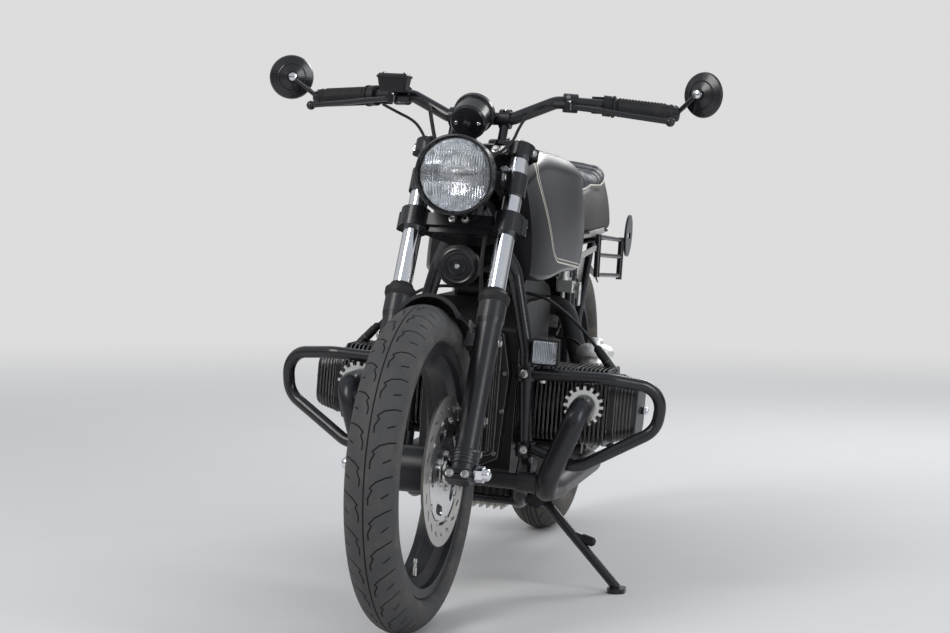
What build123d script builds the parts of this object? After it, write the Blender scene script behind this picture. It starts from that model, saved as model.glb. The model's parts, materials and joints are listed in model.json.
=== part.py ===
"""Cafe racer motorcycle with a flat twin engine, parked on its side stand.

The bike is drawn upright and straight ahead: +X is its left side, -Y its front, +Z up, in millimetres,
with the front axle above Y = 0. At the end the fork is turned a little to the right, the whole bike is
leaned onto its side stand, and the origin is put under the middle of its bounding box.
"""

import os
from math import asin, atan2, cos, degrees, radians, sin, sqrt

from build123d import *

# Stance
LEAN = 4.0
STEER_RIGHT = 3.6

# Tyres, rims and front brake disc
BEAD_R = 228.6  # 18 inch rims
FRONT_SECTION = 83.4  # height of a tyre over its bead
REAR_SECTION = 105.4
FRONT_TYRE_W = 100.0
REAR_TYRE_W = 122.0
TYRE_WALL = 9.0
BEAD_GAP = 0.1
FLANGE_H = 12.4
WELL_DEPTH = 22.6
RIM_WALL = 5.0
FRONT_BEAD_W = 66.0
REAR_BEAD_W = 84.0
SPOKES = 5
SPOKE_T = 26.0
FRONT_HUB_R = 44.0
REAR_HUB_R = 62.0
REAR_HUB_LEFT = 52.0
REAR_HUB_RIGHT = 58.0
REAR_HUB_BORE_R = 27.0
AXLE_R = 10.0
AXLE_BORE_R = 6.0
RUNNING = 0.3  # gap round a turning shaft
SEAT_GAP = 0.1  # between two faces that are bolted together
DISC_R = 142.0
DISC_T = 5.0
DISC_X = 58.5  # middle of the brake disc

# Fork, in distances S up the fork tubes from the axle
RAKE = 27.8  # of the steering axis, from the vertical
FORK_OFFSET = 41.0  # fork tubes ahead of the steering axis
FORK_SPREAD = 190.0
STANCHION_R = 19.0
STANCHION_IN = 60.0  # of a stanchion inside its slider
SLIDER_R = 25.5
SLIDER_FOOT = 20.0  # of a slider below its axle
SLIDER_TOP = 350.0
SEAL_R = 31.0
SEAL_H = 30.0
LOWER_YOKE_S = 522.0
LOWER_YOKE_T = 42.0
TOP_YOKE_S = 684.0
TOP_YOKE_T = 28.0
YOKE_WALL = 11.0
STEM_R = 15.0
HEAD_TUBE_R = 27.0
HEAD_GAP = 7.0  # bearing between the lower yoke and the head tube
FIT = 0.15  # gap round a clamped tube

# Handlebar, as left-hand points behind and above the top yoke: X left, back, up
BAR_R = 12.7
RISER = (52.0, 27.4, 56.3)
BAR_BEND = (150.0, 49.4, 95.3)
BAR_KNEE = (240.0, 84.4, 93.3)
BAR_END = (372.0, 123.4, 84.3)
BAR_BEND_R = 45.0
GRIP_R = 17.0
GRIP_L = 122.0
PERCH_X = 176.0
MIRROR_R = 46.0
MIRROR_DEPTH = 16.0
MIRROR_OUT = (64.0, -12.0, 40.0)  # mirror's middle from the bar's end
MIRROR_TURN = 25.0

# Lamp and gauge
LAMP_R = 80.0
LAMP_AHEAD = 117.7  # of the fork tubes
LAMP_S = 629.7
LAMP_DEPTH = 108.0
LAMP_WALL = 3.0
GAUGE_R = 42.0
GAUGE_TILT = 24.0
GAUGE_PLACE = (-5.0, -28.6, 54.3)  # from the top yoke

# Frame
TUBE_R = 15.0
BACKBONE_R = 26.0
CRADLE_X = 112.0
CRADLE_Z = 198.0
RAIL_X = 98.0
RAIL_Z = 725.0
RAIL_R = 12.5
RAIL_RISE = 10.0  # of the rail's rear end over its front
CRASH_R = 12.5

# Engine, gearbox and swing arm, one behind the other
ENGINE_GAP = 128.0  # from the front tyre to the engine
CASE_L = 320.0
CASE_HALF = 98.0
GEARBOX_L = 165.0
PIVOT_GAP = 50.0
SWING_L = 472.0
CRANK_Z = 405.0
CYL_Z = 412.0
CYL_BACK = 94.0  # left cylinder behind the engine's front
CYL_STAGGER = 40.0  # right cylinder behind the left one
BARREL_X = 104.0  # where a cylinder begins
HEAD_X = 215.0
COVER_X = 288.0
COVER_T = 68.0
FIN_T = 3.0
FIN_PITCH = 9.0
FIN_W = 160.0
FIN_H = 152.0
SUMP_Z = 176.0

CASE_TOP = 612.0
CASE_LOW = 232.0
ENGINE_LUGS = (85.0, 285.0)  # behind the engine's front
COIL_X = 60.0
COIL_Z = 630.0
PLUG_X = 272.0
PLUG_Z = 492.0

# Exhaust and inlet
PORT_X = 244.0
PORT_L = 92.0  # of the exhaust port, from the cylinder's middle
PORT_Z = 418.0
HEADER_R = 23.0
CROSS_R = 16.5
PIPE_X = 190.0
PIPE_Z = 237.0
SILENCER_R = 37.0
SILENCER_X = 117.0
SILENCER_Z = 250.0
SILENCER_L = 230.0
INLET_X = 250.0
INLET_Z = 455.0
INLET_L = 48.0
INLET_TURN = 20.0  # of the carburettors, towards the middle
AIR_BOX_X = 74.0

# Tank and seat
TANK_BACK = 128.0  # tank's front behind the head tube
TANK_L = 445.0
TANK_TOP = 932.0
CAP_R = 34.0
CAP_SUNK = 7.0  # of the cap's seat below the tank's top
SEAT_Z = 753.0
SEAT_GAP_Y = 8.0
SEAT_L = 488.0
TUNNEL_HALF = 39.3
TUNNEL_Z = 838.0
TANK_LUGS = ((80.0, 785.0), (360.0, 757.0))  # behind the engine's front, height
CAP_BACK = 152.0
PETCOCK_X = 104.0
PETCOCK_BACK = 422.0  # behind the tank's front
PETCOCK_Z = 692.0

# Swing arm, final drive, rear guard
ARM_X = -104.0
DRIVE_R = 86.0
DRIVE_T = 76.0
DRIVE_TAPER = 6.0
DRIVE_CLEAR = 16.0  # between a silencer and the final drive
SPRING_PITCH = 13.0
REAR_GUARD_HALF = 66.0

# Side stand, in places behind the engine's front
STAND_PIVOT_AT = (146.0, 135.0, 200.0)
STAND_FOOT_AT = (326.0, 105.0)
STAND_FOLDED_AT = (160.0, 384.0, 184.0)
EYE_R = 14.0
EYE_T = 22.0
CHEEK_T = 6.0
PIN_R = 5.0
LEG_R = 10.0
PAD_T = 10.0

# Places that follow from these sizes
LEFT = Vector(1, 0, 0)
SIDES = (1, -1)
FRONT_TYRE_R = BEAD_R + FRONT_SECTION
REAR_TYRE_R = BEAD_R + REAR_SECTION
RIM_FLANGE_R = BEAD_R + FLANGE_H
RIM_WELL_R = BEAD_R - WELL_DEPTH
TUBE_X = FORK_SPREAD / 2
AXLE_END = TUBE_X + SLIDER_R
ENGINE_Y = FRONT_TYRE_R + ENGINE_GAP
CASE_REAR_Y = ENGINE_Y + CASE_L
PIVOT_Y = CASE_REAR_Y + GEARBOX_L + PIVOT_GAP
WHEELBASE = PIVOT_Y + SWING_L
BANKS = ((1, ENGINE_Y + CYL_BACK), (-1, ENGINE_Y + CYL_BACK + CYL_STAGGER))  # side, middle of its cylinder

RAKE_DIR = Vector(0, sin(radians(RAKE)), cos(radians(RAKE)))
FRONT_AXLE = Vector(0, 0, FRONT_TYRE_R)
REAR_AXLE = Vector(0, WHEELBASE, REAR_TYRE_R)
# Fork plane: origin on the front axle, local X left, local Y back, local Z up the fork
FORK = Plane(origin=FRONT_AXLE, x_dir=LEFT, z_dir=RAKE_DIR)
STEER_AXIS = Axis(FORK.from_local_coords(Vector(0, FORK_OFFSET, 0)), RAKE_DIR)
HEAD_LOW_S = LOWER_YOKE_S + LOWER_YOKE_T / 2 + HEAD_GAP
HEAD_TOP_S = TOP_YOKE_S - TOP_YOKE_T / 2 - 4
HEAD = STEER_AXIS.position + RAKE_DIR * ((HEAD_LOW_S + HEAD_TOP_S) / 2)
TOP_YOKE_FACE = TOP_YOKE_S + TOP_YOKE_T / 2 - 2
PETCOCK_Y = HEAD.Y + TANK_BACK + PETCOCK_BACK
STAND_X, STAND_BACK, STAND_Z = STAND_PIVOT_AT
STAND_PIVOT = (STAND_X, ENGINE_Y + STAND_BACK, STAND_Z)
STAND_FOLDED = (STAND_FOLDED_AT[0], ENGINE_Y + STAND_FOLDED_AT[1], STAND_FOLDED_AT[2])


def turned(axis, angle):
    """The move that turns a part about an axis."""
    home = Location(axis.position)
    return home * Location(Vector(0, 0, 0), axis.direction, angle) * home.inverse()


def moved_point(place, point):
    return (place * Location(Vector(*point))).position


def moved_direction(place, direction):
    return moved_point(place, direction) - moved_point(place, (0, 0, 0))


def tyre_bottom(place, axle, radius, width):
    """Middle height of the ground under a leaning tyre with a round crown."""
    tilt = moved_direction(place, LEFT).Z
    return moved_point(place, axle).Z - (radius - width / 2) * sqrt(1 - tilt**2) - width / 2


# Stance: the fork is turned, the bike leaned, and both tyres set on the ground
STEERED = turned(STEER_AXIS, -STEER_RIGHT)
LEANED = turned(Axis.Y, LEAN)
FRONT_LOW = tyre_bottom(LEANED * STEERED, FRONT_AXLE, FRONT_TYRE_R, FRONT_TYRE_W)
REAR_LOW = tyre_bottom(LEANED, REAR_AXLE, REAR_TYRE_R, REAR_TYRE_W)
PITCH = degrees(atan2(REAR_LOW - FRONT_LOW, WHEELBASE))
STANCE = Location((0, 0, -FRONT_LOW)) * turned(Axis((0, 0, FRONT_LOW), (1, 0, 0)), -PITCH) * LEANED
GROUND_UP = moved_direction(STANCE.inverse(), (0, 0, 1))

# Side stand's hinge: its axis lies square to the way from the parked foot to the folded one
FOOT_X = STAND_FOOT_AT[0]
FOOT_Y = ENGINE_Y + STAND_FOOT_AT[1]
FOOT_Z = -moved_point(STANCE, (FOOT_X, FOOT_Y, 0)).Z / moved_direction(STANCE, (0, 0, 1)).Z
PARKED_WAY = Vector(*STAND_FOLDED) - Vector(FOOT_X, FOOT_Y, FOOT_Z)
STAND_AXIS = Vector(PARKED_WAY.Z, 0, -PARKED_WAY.X).normalized()
STAND_PLANE = Plane(origin=STAND_PIVOT, x_dir=Vector(0, 1, 0).cross(STAND_AXIS), z_dir=STAND_AXIS)

# Shapes that many pieces share


def tube(points, bend, radius):
    """Round bar along straight runs joined by arcs of one radius, or of a list with one for each corner."""
    with BuildLine(Plane.XY) as path:
        if len(points) > 2:
            FilletPolyline(*points, radius=bend)
        else:
            Line(*points)
    with BuildSketch(Plane(origin=path.line @ 0, z_dir=path.line % 0)) as section:
        Circle(radius)
    sweep(sections=section.sketch, path=path.line)


def cable(points, radius):
    """Cable whose arcs are as large as their runs allow; gives the smallest bend radius."""
    corners = [Vector(*p) for p in points]
    bends = []
    for before, corner, after in zip(corners, corners[1:], corners[2:]):
        came, goes = corner - before, after - corner
        turn = radians(came.get_angle(goes))
        bends.append(0.45 * min(came.length, goes.length) / sin(turn / 2) * cos(turn / 2))
    tube([tuple(c) for c in corners], bends, radius)
    return min(bends)


def rod(start, end, radius, bore=0.0):
    """Straight round bar between two points, with an optional bore."""
    start, end = Vector(*start), Vector(*end)
    with BuildSketch(Plane(origin=start, z_dir=end - start)) as section:
        Circle(radius)
        if bore:
            Circle(bore, mode=Mode.SUBTRACT)
    extrude(section.sketch, amount=(end - start).length)


def drill(start, end, radius):
    """Round hole between two points."""
    start, end = Vector(*start), Vector(*end)
    with BuildSketch(Plane(origin=start, z_dir=end - start)) as section:
        Circle(radius)
    extrude(section.sketch, amount=(end - start).length, mode=Mode.SUBTRACT)


def block(centre, size, edge=0.0):
    """Box with its upright edges rounded."""
    x, y, z = size
    with BuildSketch(Plane.XY.offset(centre[2] - z / 2)) as section:
        with Locations((centre[0], centre[1])):
            if edge:
                RectangleRounded(x, y, edge)
            else:
                Rectangle(x, y)
    extrude(section.sketch, amount=z)


def turned_piece(start, way, outline):
    """Solid of revolution from its outline of (distance along, radius), begun and ended on the axis."""
    start, way = Vector(*start), Vector(*way).normalized()
    side = Vector(0, 0, 1) if abs(way.Z) < 0.9 else LEFT
    side = (side - way * side.dot(way)).normalized()
    with BuildSketch(Plane(origin=start, x_dir=way, z_dir=way.cross(side))) as section:
        with BuildLine():
            Polyline((outline[0][0], 0), *outline, (outline[-1][0], 0), close=True)
        make_face()
    revolve(section.sketch, axis=Axis(start, way))


def cap_arc(rim_at, rim_r, pole_at):
    """Outline of a dome, from its rim to its pole on the local X axis."""
    depth = abs(pole_at - rim_at)
    way = 1 if pole_at > rim_at else -1
    ball = (rim_r**2 + depth**2) / (2 * depth)
    half = atan2(rim_r, ball - depth) / 2
    middle = (pole_at - way * ball * (1 - cos(half)), ball * sin(half))
    ThreePointArc((rim_at, rim_r), middle, (pole_at, 0))


def mirrored(point):
    """The same point on the right side of the bike."""
    return (-point[0], *point[1:])


def both(points):
    """A run of points on the left side, and its mirror image."""
    return points, [mirrored(point) for point in points]


def at_height(start, end, z):
    """The point of a straight run at one height."""
    share = (z - start[2]) / (end[2] - start[2])
    return tuple(p + share * (q - p) for p, q in zip(start, end))


def fork_point(x, y, s):
    """A point of the fork: X left, Y behind the fork tubes, S up them from the axle."""
    return FORK.from_local_coords(Vector(x, y, s))


YOKE_TOP = fork_point(0, 0, TOP_YOKE_FACE)


def over_yoke(x, back, up):
    """A point above the top yoke."""
    return (x, YOKE_TOP.Y + back, YOKE_TOP.Z + up)


# Wheels: tyre, cast rim with split spokes, front brake disc


def tyre(name, axle, radius, width, bead):
    """Hollow tyre: round crown, side walls drawn in to the bead inside the rim's flange."""
    half, wall = width / 2, TYRE_WALL
    crown = radius - half
    foot = bead / 2 - BEAD_GAP
    neck = RIM_FLANGE_R + 2
    side = (crown + neck) / 2
    bead_r = BEAD_R + BEAD_GAP
    z = axle.Z
    with BuildPart() as made:
        with BuildSketch(Plane.XZ.offset(-axle.Y)):
            with BuildLine():
                for way in (1, -1):
                    ThreePointArc((way * half, z + crown), (way * (half - 2), z + side), (way * foot, z + neck))
                    Polyline(
                        (way * foot, z + neck),
                        (way * foot, z + bead_r),
                        (way * (foot - wall), z + bead_r),
                        (way * (foot - wall), z + neck),
                    )
                    ThreePointArc(
                        (way * (foot - wall), z + neck),
                        (way * (half - 2 - wall), z + side),
                        (way * (half - wall), z + crown),
                    )
                ThreePointArc((-half, z + crown), (0, z + radius), (half, z + crown))
                ThreePointArc((wall - half, z + crown), (0, z + radius - wall), (half - wall, z + crown))
            make_face()
        revolve(axis=Axis(axle, LEFT))
    made.part.label = name
    return made


def rim(name, axle, bead, hub_left, hub_right, hub_r, bore_r):
    """Cast wheel: drop-centre rim, spokes that split in two, and hub, bored for its axle."""
    flange = bead / 2 + RIM_WALL
    well = bead / 2 - 20
    under_bead = BEAD_R - RIM_WALL
    side = Plane(origin=axle, x_dir=(0, 1, 0), z_dir=LEFT)
    z = axle.Z
    left = [
        (well, RIM_WELL_R + RIM_WALL),
        (bead / 2 - 10, BEAD_R),
        (bead / 2, BEAD_R),
        (bead / 2, RIM_FLANGE_R),
        (flange, RIM_FLANGE_R),
        (flange, under_bead),
        (bead / 2 - 8, under_bead),
        (well + 2, RIM_WELL_R),
    ]
    right = [mirrored(p) for p in reversed(left)]
    root = hub_r - 8
    crotch = (root + RIM_WELL_R) / 2 + 6
    tip = RIM_WELL_R - 1
    with BuildPart() as made:
        with BuildSketch(Plane.XZ.offset(-axle.Y)):
            with BuildLine():
                Polyline(*[(x, z + r) for x, r in left + right], close=True)
            make_face()
        revolve(axis=Axis(axle, LEFT))
        # Each spoke is a stem from the hub and two arms to the rim, with a round crotch between them
        with BuildSketch(side.offset(-SPOKE_T / 2)) as web:
            with PolarLocations(0, SPOKES, start_angle=90):
                with BuildLine():
                    Polyline(
                        (root, -22),
                        (crotch - 34, -14),
                        (tip, -60),
                        (tip + 8, -38),
                        (crotch, 0),
                        (tip + 8, 38),
                        (tip, 60),
                        (crotch - 34, 14),
                        (root, 22),
                        close=True,
                    )
                make_face()
            inside = [v for v in web.vertices() if root + 9 < sqrt(v.X**2 + v.Y**2) < tip - 9]
            fillet(inside, 14)
        extrude(web.sketch, amount=SPOKE_T)
        with BuildSketch(side.offset(-hub_right)) as hub:
            Circle(hub_r)
        extrude(hub.sketch, amount=hub_left + hub_right)
        with BuildSketch(side.offset(-hub_right)) as bore:
            Circle(bore_r)
        extrude(bore.sketch, amount=hub_left + hub_right, mode=Mode.SUBTRACT)
    made.part.label = name
    return made


FRONT_HUB = DISC_X - DISC_T / 2
front_tyre = tyre("front_tyre", FRONT_AXLE, FRONT_TYRE_R, FRONT_TYRE_W, FRONT_BEAD_W)
rear_tyre = tyre("rear_tyre", REAR_AXLE, REAR_TYRE_R, REAR_TYRE_W, REAR_BEAD_W)
front_rim = rim("front_rim", FRONT_AXLE, FRONT_BEAD_W, FRONT_HUB, FRONT_HUB, FRONT_HUB_R, AXLE_R + RUNNING)
rear_rim = rim("rear_rim", REAR_AXLE, REAR_BEAD_W, REAR_HUB_LEFT, REAR_HUB_RIGHT, REAR_HUB_R, REAR_HUB_BORE_R)

CARRIER_R = DISC_R - 46
with BuildPart() as brake_disc:
    disc_face = Plane(origin=FRONT_AXLE, x_dir=(0, 1, 0), z_dir=LEFT).offset(FRONT_HUB)
    with BuildSketch(disc_face) as ring:
        Circle(DISC_R)
        Circle(CARRIER_R + 6, mode=Mode.SUBTRACT)
        with PolarLocations(DISC_R - 20, 20):
            SlotOverall(22, 6, rotation=62, mode=Mode.SUBTRACT)
    extrude(ring.sketch, amount=DISC_T)
    # Carrier: bobbins that hold the ring, windows, and the flat that is bolted to the hub
    with BuildSketch(disc_face) as carrier:
        Circle(CARRIER_R)
        Circle(AXLE_R + 8, mode=Mode.SUBTRACT)
        with PolarLocations(CARRIER_R + 3, 10):
            Circle(8)
        with PolarLocations(CARRIER_R - 22, SPOKES, start_angle=36):
            SlotOverall(44, 20, rotation=90, mode=Mode.SUBTRACT)
    extrude(carrier.sketch, amount=DISC_T - 1)
brake_disc.part.label = "brake_disc"

# Fork: axle, sliders, stanchions, yokes, mudguard, brake caliper

NUT_T = 14.0
SPACER_GAP = 1.0
with BuildPart() as front_axle:
    rod((-AXLE_END - 8, 0, FRONT_TYRE_R), (AXLE_END + 2, 0, FRONT_TYRE_R), AXLE_R, AXLE_BORE_R)
    with BuildSketch(Plane(origin=(AXLE_END + 2, 0, FRONT_TYRE_R), z_dir=LEFT)) as nut:
        RegularPolygon(AXLE_R + 6, 6)
        Circle(AXLE_BORE_R, mode=Mode.SUBTRACT)
    extrude(nut.sketch, amount=NUT_T)
    for side in SIDES:
        inner = Vector(side * (FRONT_HUB + SPACER_GAP), 0, FRONT_TYRE_R)
        outer = Vector(side * (TUBE_X - SLIDER_R - 0.2), 0, FRONT_TYRE_R)
        rod(inner, outer, AXLE_R + 5, AXLE_R - 1)
front_axle.part.label = "front_axle"

GUARD_LUG_S = 270.0
CALIPER_LUG_S = (60.0, 130.0)
CALIPER_LUG_Y = 40.5  # where slider and caliper lugs meet
with BuildPart() as fork_sliders:
    for side in SIDES:
        leg = (side * TUBE_X, 0)
        # Outline along the leg: foot, stepped collars over the axle, taper, top collar
        turned_piece(
            fork_point(*leg, -SLIDER_FOOT),
            RAKE_DIR,
            [
                (0, SLIDER_R - 6),
                (6, SLIDER_R),
                (44, SLIDER_R),
                (52, SLIDER_R - 3),
                (SLIDER_TOP - 26, SLIDER_R - 0.5),
                (SLIDER_TOP - 14, SLIDER_R + 2),
                (SLIDER_TOP + SLIDER_FOOT, SLIDER_R + 2),
            ],
        )
        # Clamp round the axle with its split, and the mudguard's lug
        with Locations(FORK):
            with Locations((side * TUBE_X, -18, -14)):
                Box(44, 30, 24)
            with Locations((side * TUBE_X, -26, -14)):
                Box(60, 20, 3, mode=Mode.SUBTRACT)
            with Locations((side * (TUBE_X - SLIDER_R - 1.6), 0, GUARD_LUG_S)):
                Box(13, 22, 26)
        drill(fork_point(*leg, SLIDER_TOP - STANCHION_IN), fork_point(*leg, SLIDER_TOP + 1), STANCHION_R + FIT)
    # Caliper lugs behind the left slider
    with Locations(FORK):
        for s in CALIPER_LUG_S:
            with Locations((TUBE_X, (CALIPER_LUG_Y + 14.5) / 2, s)):
                Box(12, CALIPER_LUG_Y - 14.5, 18)
    drill((-AXLE_END - 20, 0, FRONT_TYRE_R), (AXLE_END + 20, 0, FRONT_TYRE_R), AXLE_R + FIT)
fork_sliders.part.label = "fork_sliders"

with BuildPart() as dust_seals:
    for side in SIDES:
        base = fork_point(side * TUBE_X, 0, SLIDER_TOP + SEAT_GAP)
        outline = [(0, SEAL_R - 3), (8, SEAL_R), (18, SEAL_R), (22, SEAL_R - 5), (SEAL_H, STANCHION_R + 3)]
        turned_piece(base, RAKE_DIR, outline)
        drill(base - RAKE_DIR, base + RAKE_DIR * (SEAL_H + 1), STANCHION_R + FIT)
dust_seals.part.label = "dust_seals"

with BuildPart() as stanchions:
    for side in SIDES:
        low = fork_point(side * TUBE_X, 0, SLIDER_TOP - STANCHION_IN)
        rod(low, fork_point(side * TUBE_X, 0, TOP_YOKE_S + TOP_YOKE_T / 2 + 4), STANCHION_R)
stanchions.part.label = "stanchions"

YOKE_EYE = STANCHION_R + YOKE_WALL


def yoke(name, middle_s, height, web, eye, rear, bolt_y):
    """Yoke: two clamped eyes with split lugs, joined by a web that swells round the steering stem."""
    bottom = middle_s - height / 2
    with BuildPart() as made:
        with BuildSketch(FORK.offset(middle_s - web / 2)) as plate:
            with BuildLine():
                Polyline(
                    (TUBE_X, -eye + 10),
                    (TUBE_X, eye - 6),
                    (rear, FORK_OFFSET + rear - 6),
                    (-rear, FORK_OFFSET + rear - 6),
                    (-TUBE_X, eye - 6),
                    (-TUBE_X, -eye + 10),
                    (-TUBE_X + 30, -eye + 16),
                    (TUBE_X - 30, -eye + 16),
                    close=True,
                )
            make_face()
            fillet(plate.vertices().group_by(Axis.Y)[-1], 16)
        extrude(plate.sketch, amount=web)
        for side in SIDES:
            rod(fork_point(side * TUBE_X, 0, bottom), fork_point(side * TUBE_X, 0, bottom + height), eye)
            # Split lug with its pinch bolt's boss
            lug = fork_point(side * (TUBE_X + eye - 2), bolt_y, middle_s)
            rod(lug - RAKE_DIR * (height / 2 - 3), lug + RAKE_DIR * (height / 2 - 3), 9)
            drill(
                fork_point(side * TUBE_X, 0, bottom - 1),
                fork_point(side * TUBE_X, 0, bottom + height + 1),
                STANCHION_R + FIT,
            )
    made.part.label = name
    return made


SPLITTER_X = 54.0
SPLITTER_TOP_S = LOWER_YOKE_S + 24
SPLITTER_LOW_S = LOWER_YOKE_S - 25
lower_yoke = yoke("lower_yoke", LOWER_YOKE_S, LOWER_YOKE_T, 26, YOKE_EYE, 38, 8)
with lower_yoke:
    stem_low = STEER_AXIS.position + RAKE_DIR * (LOWER_YOKE_S - 10)
    rod(stem_low, STEER_AXIS.position + RAKE_DIR * TOP_YOKE_S, STEM_R)
    # Splitter of the brake hose: a fitting on top of the web, and a bar below it
    rod(fork_point(-SPLITTER_X, 0, SPLITTER_TOP_S), fork_point(-SPLITTER_X, 0, LOWER_YOKE_S), 6)
    with Locations(FORK):
        with Locations((0, 0, (SPLITTER_LOW_S + LOWER_YOKE_S) / 2)):
            Box(2 * SPLITTER_X + 14, 13, LOWER_YOKE_S - SPLITTER_LOW_S)
lower_yoke.part.label = "lower_yoke"

top_yoke = yoke("top_yoke", TOP_YOKE_S, TOP_YOKE_T, 20, YOKE_EYE - 2, 36, 8)
with top_yoke:
    stem_nut = STEER_AXIS.position + RAKE_DIR * (TOP_YOKE_S + 8)
    rod(stem_nut, stem_nut + RAKE_DIR * 14, 19)
    stem_hole = [STEER_AXIS.position + RAKE_DIR * s for s in (TOP_YOKE_S - 20, TOP_YOKE_S + FIT)]
    drill(*stem_hole, STEM_R + FIT)
top_yoke.part.label = "top_yoke"

GUARD_GAP = 16.0
GUARD_HALF = 60.0
GUARD_T = 3.0
GUARD_DROP = 40.0
GUARD_ANGLES = (8.0, 78.0)  # behind the top of the tyre


def mudguard(axle, radius, half, thick, drop, start, end):
    """Rounded guard over a wheel, between two angles behind the wheel's top, as an open part."""
    face = Plane(origin=axle, x_dir=LEFT, z_dir=(0, -cos(radians(start)), sin(radians(start))))
    outer = radius + thick
    with BuildPart() as made:
        with BuildSketch(face) as section:
            with BuildLine():
                ThreePointArc((-half, outer - drop), (0, outer), (half, outer - drop))
                Line((half, outer - drop), (half - GUARD_T, outer - drop))
                ThreePointArc((half - GUARD_T, outer - drop), (0, radius), (GUARD_T - half, outer - drop))
                Line((GUARD_T - half, outer - drop), (-half, outer - drop))
            make_face()
        revolve(axis=Axis(axle, -LEFT), revolution_arc=end - start)
    return made.part


guard_r = FRONT_TYRE_R + GUARD_GAP
front, rear = GUARD_ANGLES
with BuildPart() as front_mudguard:
    add(mudguard(FRONT_AXLE, guard_r, GUARD_HALF, GUARD_T, GUARD_DROP, front, rear))
    # Flared lips at both ends
    for start, end in ((front, front + 1.5), (rear - 1.5, rear)):
        add(mudguard(FRONT_AXLE, guard_r, GUARD_HALF + 3, GUARD_T + 4, GUARD_DROP, start, end))
    for side in SIDES:
        with Locations(FORK):
            with Locations((side * (GUARD_HALF - 1), 0, GUARD_LUG_S + 12)):
                Box(4, 24, 56)
front_mudguard.part.label = "front_mudguard"


def inlet_point(side, y, along):
    """A point on the axis of an inlet port, carburettor and duct."""
    turn = radians(INLET_TURN)
    return (side * (INLET_X - along * sin(turn)), y + 50 + along * cos(turn), INLET_Z)


def fuel_inlet(side, y):
    """Tip of a carburettor's fuel inlet, and the way that fuel runs into it."""
    x, back, z = inlet_point(side, y, 86)
    way = Vector(side * 0.555, -0.555, -0.62).normalized()
    return Vector(x, back, z + 22) - way * 42, way

HOSE_ANGLE = radians(64)  # of the hose's boss, round the axle from straight back
with BuildPart() as brake_caliper:
    # Body round the disc's edge, between two radii and two angles, with a slot for the disc
    caliper_face = Plane(origin=FRONT_AXLE, x_dir=FORK.y_dir, z_dir=LEFT).offset(DISC_X - 25)
    low_r, high_r, first, last = DISC_R - 58, DISC_R + 12, radians(36), radians(76)
    with BuildSketch(caliper_face) as body:
        with BuildLine():
            corners = ((low_r, first), (high_r, first), (high_r, last), (low_r, last))
            ends = [(r * cos(a), r * sin(a)) for r, a in corners]
            middle = (first + last) / 2
            Line(ends[0], ends[1])
            ThreePointArc(ends[1], (high_r * cos(middle), high_r * sin(middle)), ends[2])
            Line(ends[2], ends[3])
            ThreePointArc(ends[3], (low_r * cos(middle), low_r * sin(middle)), ends[0])
        make_face()
        fillet(body.vertices(), 9)
    extrude(body.sketch, amount=54)
    with BuildSketch(caliper_face) as pistons:
        for angle in (46, 66):
            with Locations((116 * cos(radians(angle)), 116 * sin(radians(angle)))):
                Circle(17)
    extrude(pistons.sketch, amount=62)
    # Boss of the brake hose
    hose_x, hose_way = DISC_X + 14, (FORK.y_dir * cos(HOSE_ANGLE) + RAKE_DIR * sin(HOSE_ANGLE))
    hose_foot = FRONT_AXLE + LEFT * hose_x
    rod(hose_foot + hose_way * (DISC_R + 4), hose_foot + hose_way * (DISC_R + 20), 8)
    with Locations(FORK):
        for s in CALIPER_LUG_S:
            with Locations((TUBE_X - 1, CALIPER_LUG_Y + 15, s)):
                Box(22, 30, 18)
    slot_half = DISC_T / 2 + 2.5
    drill((DISC_X - slot_half, 0, FRONT_TYRE_R), (DISC_X + slot_half, 0, FRONT_TYRE_R), DISC_R + 4)
brake_caliper.part.label = "brake_caliper"

# Handlebar and what it carries

BAR_LEFT = [over_yoke(0, *RISER[1:]), over_yoke(RISER[0] + 12, *RISER[1:])] + [
    over_yoke(*p) for p in (BAR_BEND, BAR_KNEE, BAR_END)
]
with BuildPart() as handlebar:
    for run in both(BAR_LEFT):
        tube(run, BAR_BEND_R, BAR_R)
    for side in SIDES:
        foot = fork_point(side * RISER[0], -2, TOP_YOKE_FACE + SEAT_GAP)
        head = Vector(*over_yoke(side * RISER[0], *RISER[1:]))
        rod(foot, foot + (head - foot).normalized() * 8, 14)
        rod(foot, head, 9)
        # Clamp round the bar
        rod(head - LEFT * 11, head + LEFT * 11, BAR_R + 7)
handlebar.part.label = "handlebar"

BAR_TIP = Vector(*over_yoke(*BAR_END))
BAR_DIR = (BAR_TIP - Vector(*over_yoke(*BAR_KNEE))).normalized()


def bar_point(back, side):
    """A point of the straight end of the bar, measured back from its tip."""
    point = BAR_TIP - BAR_DIR * back
    return Vector(side * point.X, point.Y, point.Z)


with BuildPart() as grips:
    for side in SIDES:
        inner, tip = bar_point(GRIP_L, side), bar_point(0, side)
        outline = [(0, GRIP_R + 5), (5, GRIP_R + 5), (9, GRIP_R), (GRIP_L / 2, GRIP_R + 1.5)]
        outline += [(GRIP_L - 8, GRIP_R), (GRIP_L - 5, GRIP_R + 2), (GRIP_L, GRIP_R + 1)]
        turned_piece(inner, tip - inner, outline)
        drill(bar_point(GRIP_L + 1, side), bar_point(-1, side), BAR_R + FIT)
grips.part.label = "grips"


def mirror_face(side):
    """Plane of a mirror's glass, facing back and a little outward."""
    turn = radians(MIRROR_TURN)
    centre = BAR_TIP + Vector(*MIRROR_OUT)
    return Plane(
        origin=(side * centre.X, centre.Y, centre.Z),
        x_dir=(cos(turn), -side * sin(turn), 0),
        z_dir=(side * sin(turn), cos(turn), 0),
    )


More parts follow.
